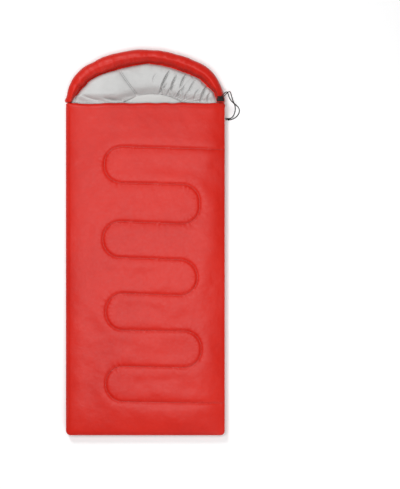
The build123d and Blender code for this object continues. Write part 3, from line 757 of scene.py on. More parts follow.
H_LIN = 0.011
top_lining, _ = lining("top_quilt_lining", -1, H_LIN, 51)
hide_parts("top_lining")
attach(top_lining, "top_quilt")
back_lining, _ = lining("back_quilt_lining", 1, H_LIN, 61)
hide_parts("back_lining")
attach(back_lining, "back_quilt")


# ------------------------------------------------------------------ the fold down the left side
def rim_loop(g):
    """The quilt cover's edge from the zip's end at the foot, round the corner, up the left side and round to the mouth."""
    foot = g[:, 0]
    i0 = int(np.argmin(abs(foot[:, 0] + 0.397)))
    mouth = g[:, -1]
    i1 = int(np.argmin(abs(mouth[:, 0] + 0.404)))
    return np.concatenate([foot[i0:0:-1], g[0, :], mouth[1 : i1 + 1]])


lo, hi = resample(rim_loop(BACK_GRID), 0.008), rim_loop(TOP_GRID)
hi = resample(hi, 0.008)
m = min(len(lo), len(hi))
t = np.linspace(0, 1, m)
lo = np.stack([np.interp(t, np.linspace(0, 1, len(lo)), lo[:, k]) for k in range(3)], 1)
hi = np.stack([np.interp(t, np.linspace(0, 1, len(hi)), hi[:, k]) for k in range(3)], 1)
tang = np.gradient(0.5 * (lo + hi), axis=0)
outward = np.stack([-tang[:, 1], tang[:, 0], 0 * tang[:, 0]], 1)
outward /= np.maximum(np.linalg.norm(outward, axis=1, keepdims=True), 1e-9)
if outward[m // 2, 0] > 0:
    outward = -outward
rows = []
rngf = np.random.default_rng(8)
pucker = np.interp(np.arange(m), np.arange(0, m + 4, 4), rngf.uniform(-1, 1, len(np.arange(0, m + 4, 4))))
for f in np.linspace(0, 1, 9):
    bow = math.sin(math.pi * f)
    rows.append(lo * (1 - f) + hi * f + outward * (0.0006 * bow + 0.0009 * bow * pucker[:, None] - 0.0008 * math.sin(2 * math.pi * f) ** 2))
strip = np.stack(rows, 1)
fold = grid_object("fold_cloth", strip, RED, smooth_level=1, flip=True)
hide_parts("fold_strip_back", "fold_strip_top", "fold_corner_back", "fold_corner_top")
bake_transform(fold)


# ------------------------------------------------------------------ hood
SIN, COS = math.sin(math.radians(4)), math.cos(math.radians(4))
L_SIDE, L_TOP = SIDE_R * ARCH_ANG, TOP_R * (math.pi - 2 * ARCH_ANG)
L_ALL = 2 * L_SIDE + L_TOP


def arch(length, d):
    """The hood's outline and its offsets inward by d, in plan: x, and how far past the neck."""
    length, d = np.broadcast_arrays(np.asarray(length, float), np.asarray(d, float))
    right, left = length < L_SIDE, length > L_ALL - L_SIDE
    ang = np.where(
        right,
        length / SIDE_R,
        np.where(left, math.pi - ARCH_ANG + (length - L_ALL + L_SIDE) / SIDE_R, ARCH_ANG + (length - L_SIDE) / TOP_R),
    )
    cx = np.where(right, HW - SIDE_R, np.where(left, SIDE_R - HW, 0))
    cy = np.where(right | left, 0, HOOD_B - TOP_R)
    r = np.where(right | left, SIDE_R, TOP_R) - d
    return cx + r * np.cos(ang), cy + r * np.sin(ang)


def tilted(yl, zl, sag=True):
    """Plan distance past the neck and height to the row frame; what rests on the floor stays on it."""
    f = smooth(zl / 0.05) if sag else 1.0
    return Y_HOOD + yl * COS - zl * SIN, zl + yl * SIN * f


IN_L = np.array([0, 31, 72.5, 147, 246, 323, 407, 485, 577, 648, 736, 830, 918, 994, 1087, 1145]) / 1000 * (L_ALL / 1.145)
IN_D = np.array([43, 42, 43, 62, 70, 74, 71, 68, 70, 77, 80, 73, 73, 68, 48, 24]) / 1000


def rim_width(length):
    w = np.interp(length, IN_L, IN_D)
    # a rounded crown: the width changes gently away from the two ends
    soft = sum(np.interp(length + o, IN_L, IN_D) for o in (-0.044, -0.022, 0.0, 0.022, 0.044)) / 5
    w = w + (soft - w) * np.clip((np.minimum(length, L_ALL - length) - 0.15) / 0.10, 0, 1)
    uneven = vnoise(length, length * 0, 0.055, 41) * 0.0028 + vnoise(length, length * 0, 0.12, 42) * 0.0022
    return w + uneven * np.clip(np.minimum(length, L_ALL - length) / 0.06, 0, 1)


H_HOOD = 0.0062
n_s = int(L_ALL / H_HOOD)
ends = np.array([0.0, 0.0008, 0.003, 0.0065, 0.011])
Ls = np.r_[ends, np.linspace(0.016, L_ALL - 0.016, n_s), L_ALL - ends[::-1]]
PROFILE = np.array(
    [(34, 0), (22, 1.5), (12, 7), (5, 15), (1, 26), (0, 38), (0, 50), (1, 60), (4, 69.5), (9.5, 77.5), (17, 83.5), (27, 88),
     (36, 90.2), (42, 89.4), (48.5, 86.2), (54, 81.8), (58, 78.2), (60.5, 77.4), (64.2, 74.6), (67, 70), (69, 64), (71, 57.5),
     (73, 51), (75.2, 45), (78, 40.6), (82, 38.6), (89, 38), (97, 37.6)]
) / 1000
prof = resample(PROFILE, 0.0045)
n_p = len(prof)
fan = np.linspace(0, 1, 16)[:-1]
x_out, y_out = arch(Ls, 0.034)
spine_x = np.interp(Ls, [0, L_ALL], [HW - 0.034, 0.034 - HW])
wid = rim_width(Ls)
cols_x, cols_y, cols_z = [], [], []
for f in fan:
    cols_x.append(spine_x * (1 - f) + x_out * f)
    cols_y.append((0.0005 * (1 - f) + y_out * f))
    cols_z.append(np.zeros_like(Ls))
for d, z in prof:
    k = (d - 0.026) / 0.054
    dd = np.where(d > 0.026, 0.026 + np.maximum(k, 0) * (wid + 0.004 - 0.026), d) if d > 0.026 else np.full_like(Ls, d)
    x, y = arch(Ls, dd)
    cols_x.append(x)
    cols_y.append(y)
    low = np.interp(Ls, [0, 0.05, 0.12, L_ALL - 0.16, L_ALL - 0.05, L_ALL], [0.985, 0.985, 1, 1, 0.95, 0.86])
    cols_z.append(z * np.where(z > 0.03, low, 1))
X, Y, Z = np.stack(cols_x, 1), np.stack(cols_y, 1), np.stack(cols_z, 1)
end_in = np.r_[np.sqrt(np.maximum(0, 1 - (1 - np.arange(5) / 5.0) ** 2)), np.ones(n_s), np.sqrt(np.maximum(0, 1 - (1 - np.arange(5) / 5.0) ** 2))[::-1]]
shrink = 0.010 * (1 - end_in)
mid_d = 0.036
N = np.zeros(X.shape + (3,))
W3 = np.stack([X, *tilted(Y, Z)], -1)
N = grid_normals(W3)
if N[n_s // 2, len(fan) + n_p // 2, 2] < 0:
    N = -N
W3 = W3 - N * shrink[:, None, None]
W3[..., 1] = np.maximum(W3[..., 1], Y_HOOD)
lip_at = int(np.argmin(np.hypot(prof[:, 0] - 0.0730, prof[:, 1] - 0.0510)))
col_d = np.r_[np.zeros(len(fan)), np.clip(np.arange(n_p) / lip_at, 0, 1)]
rngh = np.random.default_rng(21)


gather = np.exp(-(((1 - col_d) / 0.42) ** 2)) * (np.arange(len(col_d)) >= len(fan)) * np.clip((len(col_d) - 1 - np.arange(len(col_d))) / 6.0, 0.15, 1)
ends_fade = np.clip(np.minimum(Ls, L_ALL - Ls) / 0.05, 0, 1)
fine = ripples(Ls, 0.014, 22) * 0.0013
wide_r = ripples(Ls, 0.042, 23) * 0.0019
slant = np.stack([np.interp(Ls + 0.012 * (c - 0.7), Ls, fine + wide_r) for c in col_d], 1)
crown = np.interp(col_d, [0, 0.25, 0.45, 0.6, 0.75, 0.9, 1], [0, 0.15, 0.25, 0.55, 0.9, 1.0, 0.6])
W3 += N * (slant * gather[None] * ends_fade[:, None] + wide_r[:, None] * 0.45 * crown[None] * ends_fade[:, None])[..., None]
soft = (vnoise(W3[..., 0], W3[..., 1] + W3[..., 2], 0.09, 24) * 0.0032 + vnoise(W3[..., 0], W3[..., 1] + W3[..., 2], 0.04, 25) * 0.0016) * (np.arange(len(col_d)) > len(fan) + 3)
W3 += N * (soft * ends_fade[:, None])[..., None]
def end_rows(row):
    mid = row[len(fan):].mean(0)
    return [np.c_[mid[0] + (row[:, 0] - mid[0]) * k, np.full(len(row), Y_HOOD + 0.0001), mid[2] + (row[:, 2] - mid[2]) * k] for k in (0.0, 0.25, 0.5, 0.8, 0.94)]


# the sewn end of the rim stands out a little at the fold's corner
nub = np.exp(-(((Ls - (L_ALL - 0.014)) / 0.012) ** 2))[:, None] * np.exp(-(((W3[..., 2] - 0.055) / 0.03) ** 2)) * (W3[..., 0] < -0.40)
W3[..., 0] -= 0.0075 * nub
pin = np.zeros(X.shape)
pin[:, : len(fan) + 1] = 1
pin[:, -1] = 1
pin[0], pin[-1] = 1, 1
scale_u = 1 + 0.030 * gather[None] * np.ones_like(X)
scale_v = 1 + 0.012 * np.ones_like(X)
HOOD_GRID = relax(W3, pin, scale_u, scale_v, 0.0006, steps=110, k_in=0.16, k_out=0.06, bend=0.05, seed=7, kick=0.0012, floor=0.0)
HOOD_GRID[..., 1] = np.maximum(HOOD_GRID[..., 1], Y_HOOD)
whole = np.concatenate([np.stack(end_rows(HOOD_GRID[0])), HOOD_GRID, np.stack(end_rows(HOOD_GRID[-1]))[::-1]])
hood_cover = grid_object("hood_cover", whole, RED)
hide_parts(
    "hood_shell", "hood_fill", "hood_cord_channel", "hood_drawcord", "hood_corner_shell", "hood_corner_fill",
    "hood_corner_channel", "hood_corner_drawcord",
)

# the lining's puffed ring, from under the rim to the edge of the head panel
CRES_A, CRES_M, CRES_B = (0.208, 0.7535), (0.0365, 0.8036), (-0.128, 0.7545)


def circle3(a, b, c):
    ax, ay, bx, by, cx, cy = *a, *b, *c
    d = 2 * (ax * (by - cy) + bx * (cy - ay) + cx * (ay - by))
    ux = ((ax**2 + ay**2) * (by - cy) + (bx**2 + by**2) * (cy - ay) + (cx**2 + cy**2) * (ay - by)) / d
    uy = ((ax**2 + ay**2) * (cx - bx) + (bx**2 + by**2) * (ax - cx) + (cx**2 + cy**2) * (bx - ax)) / d
    return ux, uy, math.hypot(ax - ux, ay - uy)


CCX, CCY, CCR = circle3(CRES_A, CRES_M, CRES_B)
ca0, ca1 = math.atan2(CRES_A[1] - CCY, CRES_A[0] - CCX), math.atan2(CRES_B[1] - CCY, CRES_B[0] - CCX)
H_RING = 0.0038
n_u = int(1.14 / H_RING)
Lr = np.linspace(0, L_ALL, n_u)
sr = Lr / L_ALL
x0, y0 = arch(Lr, np.maximum(rim_width(Lr) - 0.014, 0.0285))
y0 = Y_HOOD + y0 * COS - 0.055 * SIN
x0e, y0e = x0, np.maximum(y0, 0.7560)
# spread the inner edge's points as the outer ones turn
turn = np.interp(sr, [0, 0.10, 0.3, 0.5, 0.7, 0.90, 1], [0, 0.03, 0.24, 0.5, 0.76, 0.97, 1])
ca = ca0 + (ca1 - ca0) * turn
x1, y1 = CCX + CCR * np.cos(ca), CCY + CCR * np.sin(ca)
y1 = np.maximum(y1, 0.7560)
n_t = int(0.20 / H_RING)
ts = np.linspace(0, 1, n_t)
RX = x0e[:, None] * (1 - ts) + x1[:, None] * ts
RY = y0e[:, None] * (1 - ts) + y1[:, None] * ts
zt = np.interp(
    ts, [0, 0.3, 0.42, 0.52, 0.61, 0.69, 0.75, 0.79, 0.82, 0.85, 0.88, 0.91, 0.94, 0.97, 1],
    [75, 76.5, 77, 77, 76.6, 75.2, 72.8, 70, 66.6, 62, 56.8, 51.2, 45.8, 40.8, 36.4],
) / 1000
along = np.hypot(x1 - x0e, y1 - y0e)[:, None] * ts[None]
rise = np.interp(along, [0, 0.0200, 0.0245, 0.0295, 0.0365, 0.0470, 0.061], [0, 0, 0.36, 0.66, 0.85, 0.95, 1])
RZ = 0.0310 + (np.broadcast_to(zt, RX.shape) - 0.0310) * rise + (RY - Y_HOOD) * SIN
# towards the mouth the ring flattens, to go under the top quilt
near_mouth = smooth((RY - 0.7535) / 0.050)
RZ = 0.0500 + (RZ - 0.0500) * np.where(RZ > 0.05, near_mouth, np.maximum(near_mouth, 0.45))


def mm(x, y):
    return ((x - 145.2) * 5.366 / 1000, ((436 - y) * 5.366 - 1037) / 1000)


def seg_dist(px, py, a, b):
    ax, ay = a
    dx, dy = b[0] - ax, b[1] - ay
    l2 = dx * dx + dy * dy
    t = np.clip(((px - ax) * dx + (py - ay) * dy) / l2, 0, 1)
    return np.hypot(px - ax - t * dx, py - ay - t * dy), t


FOLDS = [  # the lining's gathers: start and end in mm, depth, half width, how far one side stands above the other
    ((128, 918), (80, 814), 12.0, 5.2, 4.5), ((166, 893), (136, 812), 11.0, 5.0, 4.0), ((222, 905), (188, 834), 9.0, 5.2, 3.5),
    ((334, 845), (297, 764), 12.0, 5.5, 4.5), ((345, 800), (338, 762), 8.0, 5.0, 3.0), ((268, 868), (236, 808), 5.5, 5.5, 2.5),
    ((286, 820), (262, 772), 5.0, 5.0, 2.0), ((190, 820), (176, 786), 7.0, 4.5, 3.0), ((112, 850), (96, 812), 7.0, 4.5, 2.5),
    ((152, 842), (120, 806), 6.5, 4.5, 2.5), ((-336, 790), (-262, 768), 4.0, 8.0, 1.5), ((-216, 776), (-132, 764), 6.5, 6.0, 2.5),
    ((100, 838), (74, 806), 5.0, 4.5, 2.0), ((245, 925), (258, 884), 4.5, 5.0, 1.5), ((305, 875), (318, 842), 4.0, 5.0, 1.5),
    ((208, 838), (196, 790), 6.0, 4.5, 2.5), ((230, 812), (214, 770), 5.0, 4.5, 2.0), ((60, 905), (44, 862), 3.0, 7.0, 1.0),
]
for a, b, depth, half, step in FOLDS:
    a, b = (a[0] / 1000, a[1] / 1000), (b[0] / 1000, b[1] / 1000)
    depth, half, step = depth * 2.2, half * 0.74, step * 1.5
    bend_by = 0.006 * np.sin(np.pi * seg_dist(RX, RY, a, b)[1])
    dist, t = seg_dist(RX + bend_by, RY, a, b)
    taper = np.sin(np.pi * np.clip(0.14 + 0.76 * t, 0, 1)) ** 0.8
    side = (RX + bend_by - a[0]) * (b[1] - a[1]) - (RY - a[1]) * (b[0] - a[0])
    side = np.sign(side) * np.minimum(1, dist / (half / 1000))
    RZ -= depth / 1000 * taper * np.exp(-((dist / (half / 1000)) ** 1.4))
    RZ += step / 1000 * taper * side * np.exp(-((dist / (3.2 * half / 1000)) ** 2))
SEAM = np.array([(-0.137, 0.924), (-0.120, 0.897), (-0.097, 0.864), (-0.070, 0.828), (-0.045, 0.797)])
SEAM = resample(SEAM, 0.004)
seam_d = np.full(RX.shape, 9.0)
for a, b in zip(SEAM[:-1], SEAM[1:]):
    seam_d = np.minimum(seam_d, seg_dist(RX, RY, a, b)[0])
RZ -= 0.0088 * np.exp(-((seam_d / 0.0080) ** 1.1)) + 0.003 * np.exp(-((seam_d / 0.03) ** 2))
RZ += vnoise(RX, RY, 0.05, 71) * 0.0012 + vnoise(RX, RY, 0.11, 72) * 0.0022
creased = smooth((RX - 0.02) / 0.10)
radial = ripples(Lr, 0.016, 75)[:, None] * 0.0016 + ripples(Lr, 0.034, 76)[:, None] * 0.0024
lean = vnoise(RX, RY, 0.06, 77) * 0.5 + 0.6
RZ += radial * creased * lean * np.sin(np.pi * np.clip(ts * 1.05, 0, 1))[None] ** 0.6
ring_l = np.broadcast_to(Lr[:, None], RX.shape)
pull = ripples(Lr, 0.017, 73)[:, None] * np.exp(-((ts / 0.14) ** 2))[None] * 0.0020
pull += ripples(Lr, 0.020, 74)[:, None] * np.exp(-(((1 - ts) / 0.16) ** 2))[None] * (0.0007 + 0.0016 * creased)
RZ += pull
ring = np.stack([RX, RY, RZ], -1)
# a rolled inner edge, tucked back under the ring, and ends that go under the top quilt's mouth
inward = np.stack([x1 - x0e, y1 - y0e], 1)
inward /= np.linalg.norm(inward, axis=1, keepdims=True)
edge = ring[:, -1].copy()
lipz = []
for out_mm, down in ((0.8, 0.6), (0.7, 1.2), (-0.6, 1.6), (-4.0, 1.9), (-10.0, 1.9)):
    q = edge.copy()
    q[:, :2] += inward * out_mm / 1000
    q[:, 2] = np.maximum(edge[:, 2] - down / 1000, 0.0345 + (edge[:, 1] - Y_HOOD) * SIN)
    lipz.append(q)
ring = np.concatenate([ring, np.stack(lipz, 1)], 1)
under = []
for back, z in ((0.0040, 0.0492), (0.0085, 0.0465), (0.0140, 0.0405)):
    q = ring[0].copy()
    q[:, 1] = 0.7560 - back
    q[:, 2] = np.minimum(ring[0, :, 2], z)
    under.append(q)
ring = np.concatenate([np.stack(under[::-1]), ring], 0)
under = []
for back, z in ((0.0040, 0.0492), (0.0085, 0.0465), (0.0140, 0.0405)):
    q = ring[-1].copy()
    q[:, 1] = 0.7560 - back
    q[:, 2] = np.minimum(ring[-1, :, 2], z)
    under.append(q)
ring = np.concatenate([ring, np.stack(under)], 0)
pin = np.zeros(ring.shape[:2])
pin[:3], pin[-3:], pin[:, 0], pin[:, -3:] = 1, 1, 1, 1
sc = np.ones(ring.shape[:2])
su = sc * 1.02
su[3:-3, : n_t] += 0.05 * np.exp(-((ts / 0.2) ** 2))[None]
kick = 0.0012
RING = relax(ring, pin, su, sc * 1.01, 0.0004, steps=80, k_in=0.14, k_out=0.10, bend=0.045, seed=9, kick=kick)
lining_ring = grid_object("hood_lining_ring", RING, GREY)
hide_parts("hood_lining", "hood_corner_lining")

# the flat head panel inside it, which goes on under the top quilt
hx = np.linspace(-0.172, 0.252, 90)
yarc = CCY + np.sqrt(np.maximum(CCR**2 - (hx - CCX) ** 2, 0))
ytop = np.maximum(yarc, 0.752) + 0.010
fr = np.linspace(0, 1, 18)
PX = np.broadcast_to(hx[:, None], (90, 18))
PY = 0.7445 * (1 - fr)[None] + ytop[:, None] * fr[None]
PZ = 0.0372 - 0.0015 * smooth((PY - 0.750) / 0.018) - 0.0035 * smooth((PY - ytop[:, None] + 0.024) / 0.014) + (PY - Y_HOOD) * SIN * (PY > Y_HOOD) + vnoise(PX, PY, 0.05, 81) * 0.0012 + vnoise(PX, PY, 0.02, 82) * 0.0005
PZ += 0.0025 * np.exp(-(((PX - 0.04) / 0.13) ** 2)) * smooth((PY - 0.75) / 0.03) * smooth((ytop[:, None] - PY) / 0.02)
# the panel's cloth is the grey lining, painted a little lighter for the light it catches
panel = grid_object("hood_head_panel", np.stack([PX, PY, PZ], -1), LIT_GREY_LINING)
for ob in (hood_cover, lining_ring, panel):
    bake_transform(ob)

# the top quilt's lining shows as a narrow hem along the mouth
def rounded_band(name, line, ry, rz, mat, sides=10):
    """A flat rolled hem: an ellipse carried along a line of points."""
    tan = np.gradient(line, axis=0)
    tan /= np.linalg.norm(tan, axis=1, keepdims=True)
    across = np.stack([-tan[:, 1], tan[:, 0], 0 * tan[:, 0]], 1)
    ang = np.linspace(0, 2 * math.pi, sides, endpoint=False)
    taper = np.sqrt(np.clip(np.minimum(np.arange(len(line)), np.arange(len(line))[::-1]) / 3.0, 0.02, 1))[:, None]
    rings = [line + across * (ry * math.cos(a)) * taper + np.array([0, 0, 1]) * (rz * math.sin(a)) * taper for a in ang]
    return grid_object(name, np.stack(rings, 0), mat, close_u=True)


hx = np.linspace(-0.409, 0.405, 260)
hem_line = np.stack([
    hx,
    0.7482 + vnoise(hx, hx * 0, 0.07, 15) * 0.0014 + vnoise(hx, hx * 0, 0.18, 14) * 0.0012 - 0.004 * np.clip((abs(hx) - 0.39) / 0.02, 0, 1)
    - 0.0040 * smooth((abs(hx - 0.04) - 0.15) / 0.09),
    0.0560 + vnoise(hx, hx * 0, 0.03, 91) * 0.0006,
], 1)
hem = rounded_band("mouth_hem", hem_line, 0.0066, 0.0028, GREY)
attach(hem, "top_quilt")

# ------------------------------------------------------------------ sewing
top_tree = surface_of([top_quilt])
pts, nrm = on_surface(top_tree, [(x, y) for x, y in PATH if x < 0.4245], 0.2)
thread = stitches("top_quilting_stitches", pts, nrm, THREAD, pitch=0.0050, share=0.8, r=0.0009)
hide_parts("top_quilting_thread")
mouth_xy = resample(np.array([(-0.395, 0.7265), (0.395, 0.7265)]), 0.004)
mouth_xy[:, 1] += vnoise(mouth_xy[:, 0], mouth_xy[:, 0] * 0, 0.045, 13) * 0.0036 + vnoise(mouth_xy[:, 0], mouth_xy[:, 0] * 0, 0.16, 14) * 0.0024
pts, nrm = on_surface(top_tree, mouth_xy, 0.2)
mouth_st = stitches("mouth_stitches", pts, nrm, THREAD, pitch=0.0042, r=0.0005)
back_tree = surface_of([back_quilt])
pts, nrm = on_surface(back_tree, [(x, y) for x, y in PATH if x < 0.42], -0.1, 1)
pts[:, 2] = np.maximum(pts[:, 2], 0.0008)
under_st = stitches("back_quilting_stitches", pts, nrm, THREAD, pitch=0.0050, r=0.0006)
pts, nrm = on_surface(surface_of([back_lining]), [(x, y) for x, y in PATH if x < 0.405], 0.2)
lin_st = stitches("back_lining_stitches", pts, nrm, THREAD_GREY, pitch=0.0050, r=0.0006)
pts, nrm = on_surface(surface_of([top_lining]), [(x, y) for x, y in PATH if x < 0.405], -0.1, 1)
lin_st2 = stitches("top_lining_stitches", pts, nrm, THREAD_GREY, pitch=0.0050, r=0.0006)
for ob, body, sl in ((thread, "top_quilt", "thread_red"), (mouth_st, "top_quilt", "thread_red"), (under_st, "back_quilt", "thread_red"),
                     (lin_st, "back_quilt", "thread_red"), (lin_st2, "top_quilt", "thread_red")):
    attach(ob, body)

hood_n = grid_normals(HOOD_GRID)
if hood_n[n_s // 2, len(fan) + int(0.6 * n_p), 2] < 0:
    hood_n = -hood_n
groove = len(fan) + int(np.argmin(np.hypot(prof[:, 0] - 0.0590, prof[:, 1] - 0.0778)))
sel = slice(9, -9)
rim_st = stitches("hood_channel_stitches", HOOD_GRID[sel, groove], hood_n[sel, groove], THREAD, pitch=0.0046, r=0.0006)
side = np.gradient(SEAM, axis=0)
side = np.stack([-side[:, 1], side[:, 0]], 1)
side /= np.linalg.norm(side, axis=1, keepdims=True)
ring_tree = surface_of([lining_ring])
seam_rows = []
for off in (-0.0042, 0.0042):
    pts, nrm = on_surface(ring_tree, SEAM[2:-2] + side[2:-2] * off, 0.2)
    seam_rows.append(stitches("hood_lining_seam_%d" % len(seam_rows), pts, nrm, THREAD_GREY, pitch=0.0044, share=0.8, r=0.0010))
for ob in [rim_st] + seam_rows:
    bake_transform(ob)

# ------------------------------------------------------------------ zip: coil teeth on both tapes
def zip_path(end_y, end_x, step=0.0005):
    """The chain's line in plan, from the mouth end round the foot corner."""
    cx, cy = TAPE_X - TAPE_R, TAPE_Y + TAPE_R
    a = np.linspace(0, -math.pi / 2, 60)
    pts = np.concatenate([
        [(TAPE_X, end_y)], np.stack([cx + TAPE_R * np.cos(a), cy + TAPE_R * np.sin(a)], 1), [(end_x, TAPE_Y)],
    ])
    return resample(pts, step)


def coil(name, end_y, end_x, z_base, z_tip, offset, pitch=0.0026):
    line = zip_path(end_y, end_x)
    s_at = np.r_[0, np.cumsum(np.linalg.norm(np.diff(line, axis=0), axis=1))]
    at = np.arange(offset + 0.001, s_at[-1] - 0.001, pitch)
    c = np.stack([np.interp(at, s_at, line[:, k]) for k in (0, 1)], 1)
    tan = np.stack([np.interp(at + 0.0005, s_at, line[:, k]) - np.interp(at - 0.0005, s_at, line[:, k]) for k in (0, 1)], 1)
    tan /= np.linalg.norm(tan, axis=1, keepdims=True)
    out = np.stack([-tan[:, 1], tan[:, 0]], 1)
    sgn = 1 if z_tip > z_base else -1
    span = abs(z_tip - z_base)
    # (height from base, half width along the chain, half thickness)
    rows = [(-0.0004, 0.00045, 0.0010), (0.0006, 0.00052, 0.00135), (span * 0.55, 0.00052, 0.0014), (span * 0.78, 0.00078, 0.0014),
            (span * 0.93, 0.00074, 0.0011), (span, 0.0004, 0.0006)]
    k = 8
    verts = []
    for hgt, wa, wn in rows:
        for j in range(k):
            a = 2 * math.pi * (j + 0.5) / k
            xy = c + tan * (wa * math.cos(a)) + out * (wn * math.sin(a))
            verts.append(np.c_[xy, np.full(len(xy), z_base + sgn * hgt)])
    verts = np.stack(verts, 1)
    n, per = verts.shape[:2]
    base = [((f * k + j), (f * k + (j + 1) % k), ((f + 1) * k + (j + 1) % k), ((f + 1) * k + j)) for f in range(len(rows) - 1) for j in range(k)]
    faces = (np.array(base)[None] + (np.arange(n) * per)[:, None, None]).reshape(-1, 4).tolist()
    faces += [[i * per + (len(rows) - 1) * k + j for j in range(k)] for i in range(n)]
    verts = verts.reshape(-1, 3)
    # the core that the coil is sewn over
    core = zip_path(end_y - 0.001, end_x + 0.001, 0.004)
    t = np.gradient(core, axis=0)
    t /= np.linalg.norm(t, axis=1, keepdims=True)
    o = np.stack([-t[:, 1], t[:, 0]], 1)
    start = len(verts)
    extra = []
    for j in range(8):
        a = 2 * math.pi * j / 8
        extra.append(np.c_[core + o * (0.00135 * math.cos(a)), np.full(len(core), z_base - sgn * 0.0006 + 0.0009 * math.sin(a))])
    extra = np.stack(extra, 1)
    m = len(core)
    verts = np.concatenate([verts, extra.reshape(-1, 3)])
    faces += [(start + i * 8 + j, start + i * 8 + (j + 1) % 8, start + (i + 1) * 8 + (j + 1) % 8, start + (i + 1) * 8 + j) for i in range(m - 1) for j in range(8)]
    return mesh_object(name, verts, faces, COIL)


coil_back = coil("zip_teeth_back", 0.741, -0.392, 0.0388, 0.0426, 0.0)
coil_top = coil("zip_teeth_top", 0.711, -0.365, 0.0452, 0.0414, 0.0013 + 0.030 % 0.0026)
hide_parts("zip_coil_back")
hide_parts("zip_coil_top")
for ob, body in ((coil_back, "back_quilt"), (coil_top, "top_quilt")):
    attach(ob, body)

# ------------------------------------------------------------------ the corner: exit patch, eyelets, knot
hood_tree = surface_of([hood_cover])
gu, gv = np.linspace(-1, 1, 26), np.linspace(-1, 1, 22)
U, V = np.meshgrid(gu, gv, indexing="ij")
# a square with rounded corners
k_round = 1 - 0.07 * (U**2 * V**2) ** 1.5
PXY = np.stack([0.404 + 0.018 * U * k_round, 0.771 + 0.014 * V * k_round], -1)
PZ = np.zeros(U.shape)
for i in range(U.shape[0]):
    for j in range(U.shape[1]):
        hit = hood_tree.ray_cast(Vector((*PXY[i, j], 0.2)), Vector((0, 0, -1)))
        PZ[i, j] = hit[0].z if hit[0] is not None else 0.06
rim = np.maximum(abs(U), abs(V))
PZ = np.maximum(PZ + 0.0010, 0.0948 - 0.0032 * np.clip((rim - 0.80) / 0.20, 0, 1) ** 2 - 0.016 * np.clip((U - 0.80) / 0.20, 0, 1) ** 2)
PZ = np.minimum(PZ, 0.0949)
low = PZ - 0.0012 * (1 - rim) - 0.0045
body_top = np.stack([PXY[..., 0], PXY[..., 1], PZ], -1)
idx = np.arange(U.size).reshape(U.shape)
verts = [tuple(v) for v in body_top.reshape(-1, 3)]
faces = [(idx[i, j], idx[i + 1, j], idx[i + 1, j + 1], idx[i, j + 1]) for i in range(U.shape[0] - 1) for j in range(U.shape[1] - 1)]
loop = list(idx[:, 0]) + list(idx[-1, 1:]) + list(idx[-2::-1, -1]) + list(idx[0, -2:0:-1])
prev = [int(i) for i in loop]
for drop, grow in ((0.0012, 0.0005), (0.0030, 0.0004), (0.0048, -0.0006)):
    new = []
    for i in loop:
        x, y, z = verts[i]
        dx, dy = x - 0.404, y - 0.771
        l = math.hypot(dx, dy)
        new.append(len(verts))
        verts.append((x + dx / l * grow, y + dy / l * grow, z - drop))
    for a in range(len(loop)):
        b = (a + 1) % len(loop)
        faces.append((prev[a], new[a], new[b], prev[b]))
    prev = new
patch = mesh_object("cord_exit_patch", verts, [[int(i) for i in f] for f in faces], RED)
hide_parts("drawcord_exit_patch")
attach(patch, "back_quilt")
box = np.array([(0.3895, 0.7602), (0.4175, 0.7602), (0.4175, 0.7818), (0.3895, 0.7818), (0.3895, 0.7602)])
box = resample(box, 0.001)
pts, nrm = on_surface(surface_of([patch]), box, 0.2)
patch_st = stitches("patch_stitches", pts, nrm, THREAD, pitch=0.0034, r=0.0004)
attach(patch_st, "back_quilt")


def ring_mesh(name, centre, big, small, mat, squash=1.0, n=36, k=10):
    a = np.linspace(0, 2 * math.pi, n, endpoint=False)
    b = np.linspace(0, 2 * math.pi, k, endpoint=False)
    A, B = np.meshgrid(a, b, indexing="ij")
    x = centre[0] + (big + small * np.cos(B)) * np.cos(A)
    y = centre[1] + (big + small * np.cos(B)) * np.sin(A)
    z = centre[2] + small * squash * np.sin(B)
    idx = np.arange(n * k).reshape(n, k)
    faces = [(idx[i, j], idx[(i + 1) % n, j], idx[(i + 1) % n, (j + 1) % k], idx[i, (j + 1) % k]) for i in range(n) for j in range(k)]
    return mesh_object(name, np.stack([x, y, z], -1).reshape(-1, 3), [[int(v) for v in f] for f in faces], mat)


for tag, x in (("a", 0.410), ("b", 0.398)):
    eye = ring_mesh("cord_eyelet_" + tag, (x, 0.767, 0.0949), 0.0037, 0.0009, LOCK, 0.8)
    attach(eye, "back_quilt")


def tube_mesh(name, line, radius, mat, k=12, closed=False):
    """A round cord along a line; an open one is closed with a flat cap at each end."""
    n = len(line)
    tan = np.roll(line, -1, 0) - np.roll(line, 1, 0) if closed else np.gradient(line, axis=0)
    tan /= np.linalg.norm(tan, axis=1, keepdims=True)
    up = np.array([0, 0, 1.0])
    f = np.cross(tan[0], up)
    f = f / np.linalg.norm(f) if np.linalg.norm(f) > 1e-6 else np.array([1.0, 0, 0])
    frames = []
    for t in tan:
        f = f - t * (f @ t)
        f /= np.linalg.norm(f)
        frames.append((f, np.cross(t, f)))
    rad = np.full(n, radius) if np.isscalar(radius) else np.asarray(radius)
    verts = [line[i] + frames[i][0] * rad[i] * math.cos(2 * math.pi * j / k) + frames[i][1] * rad[i] * math.sin(2 * math.pi * j / k) for i in range(n) for j in range(k)]
    faces = [(i * k + j, i * k + (j + 1) % k, ((i + 1) % n) * k + (j + 1) % k, ((i + 1) % n) * k + j) for i in range(n if closed else n - 1) for j in range(k)]
    if not closed:
        faces += [tuple(range(k))[::-1], tuple((n - 1) * k + j for j in range(k))]
    return mesh_object(name, verts, faces, mat)


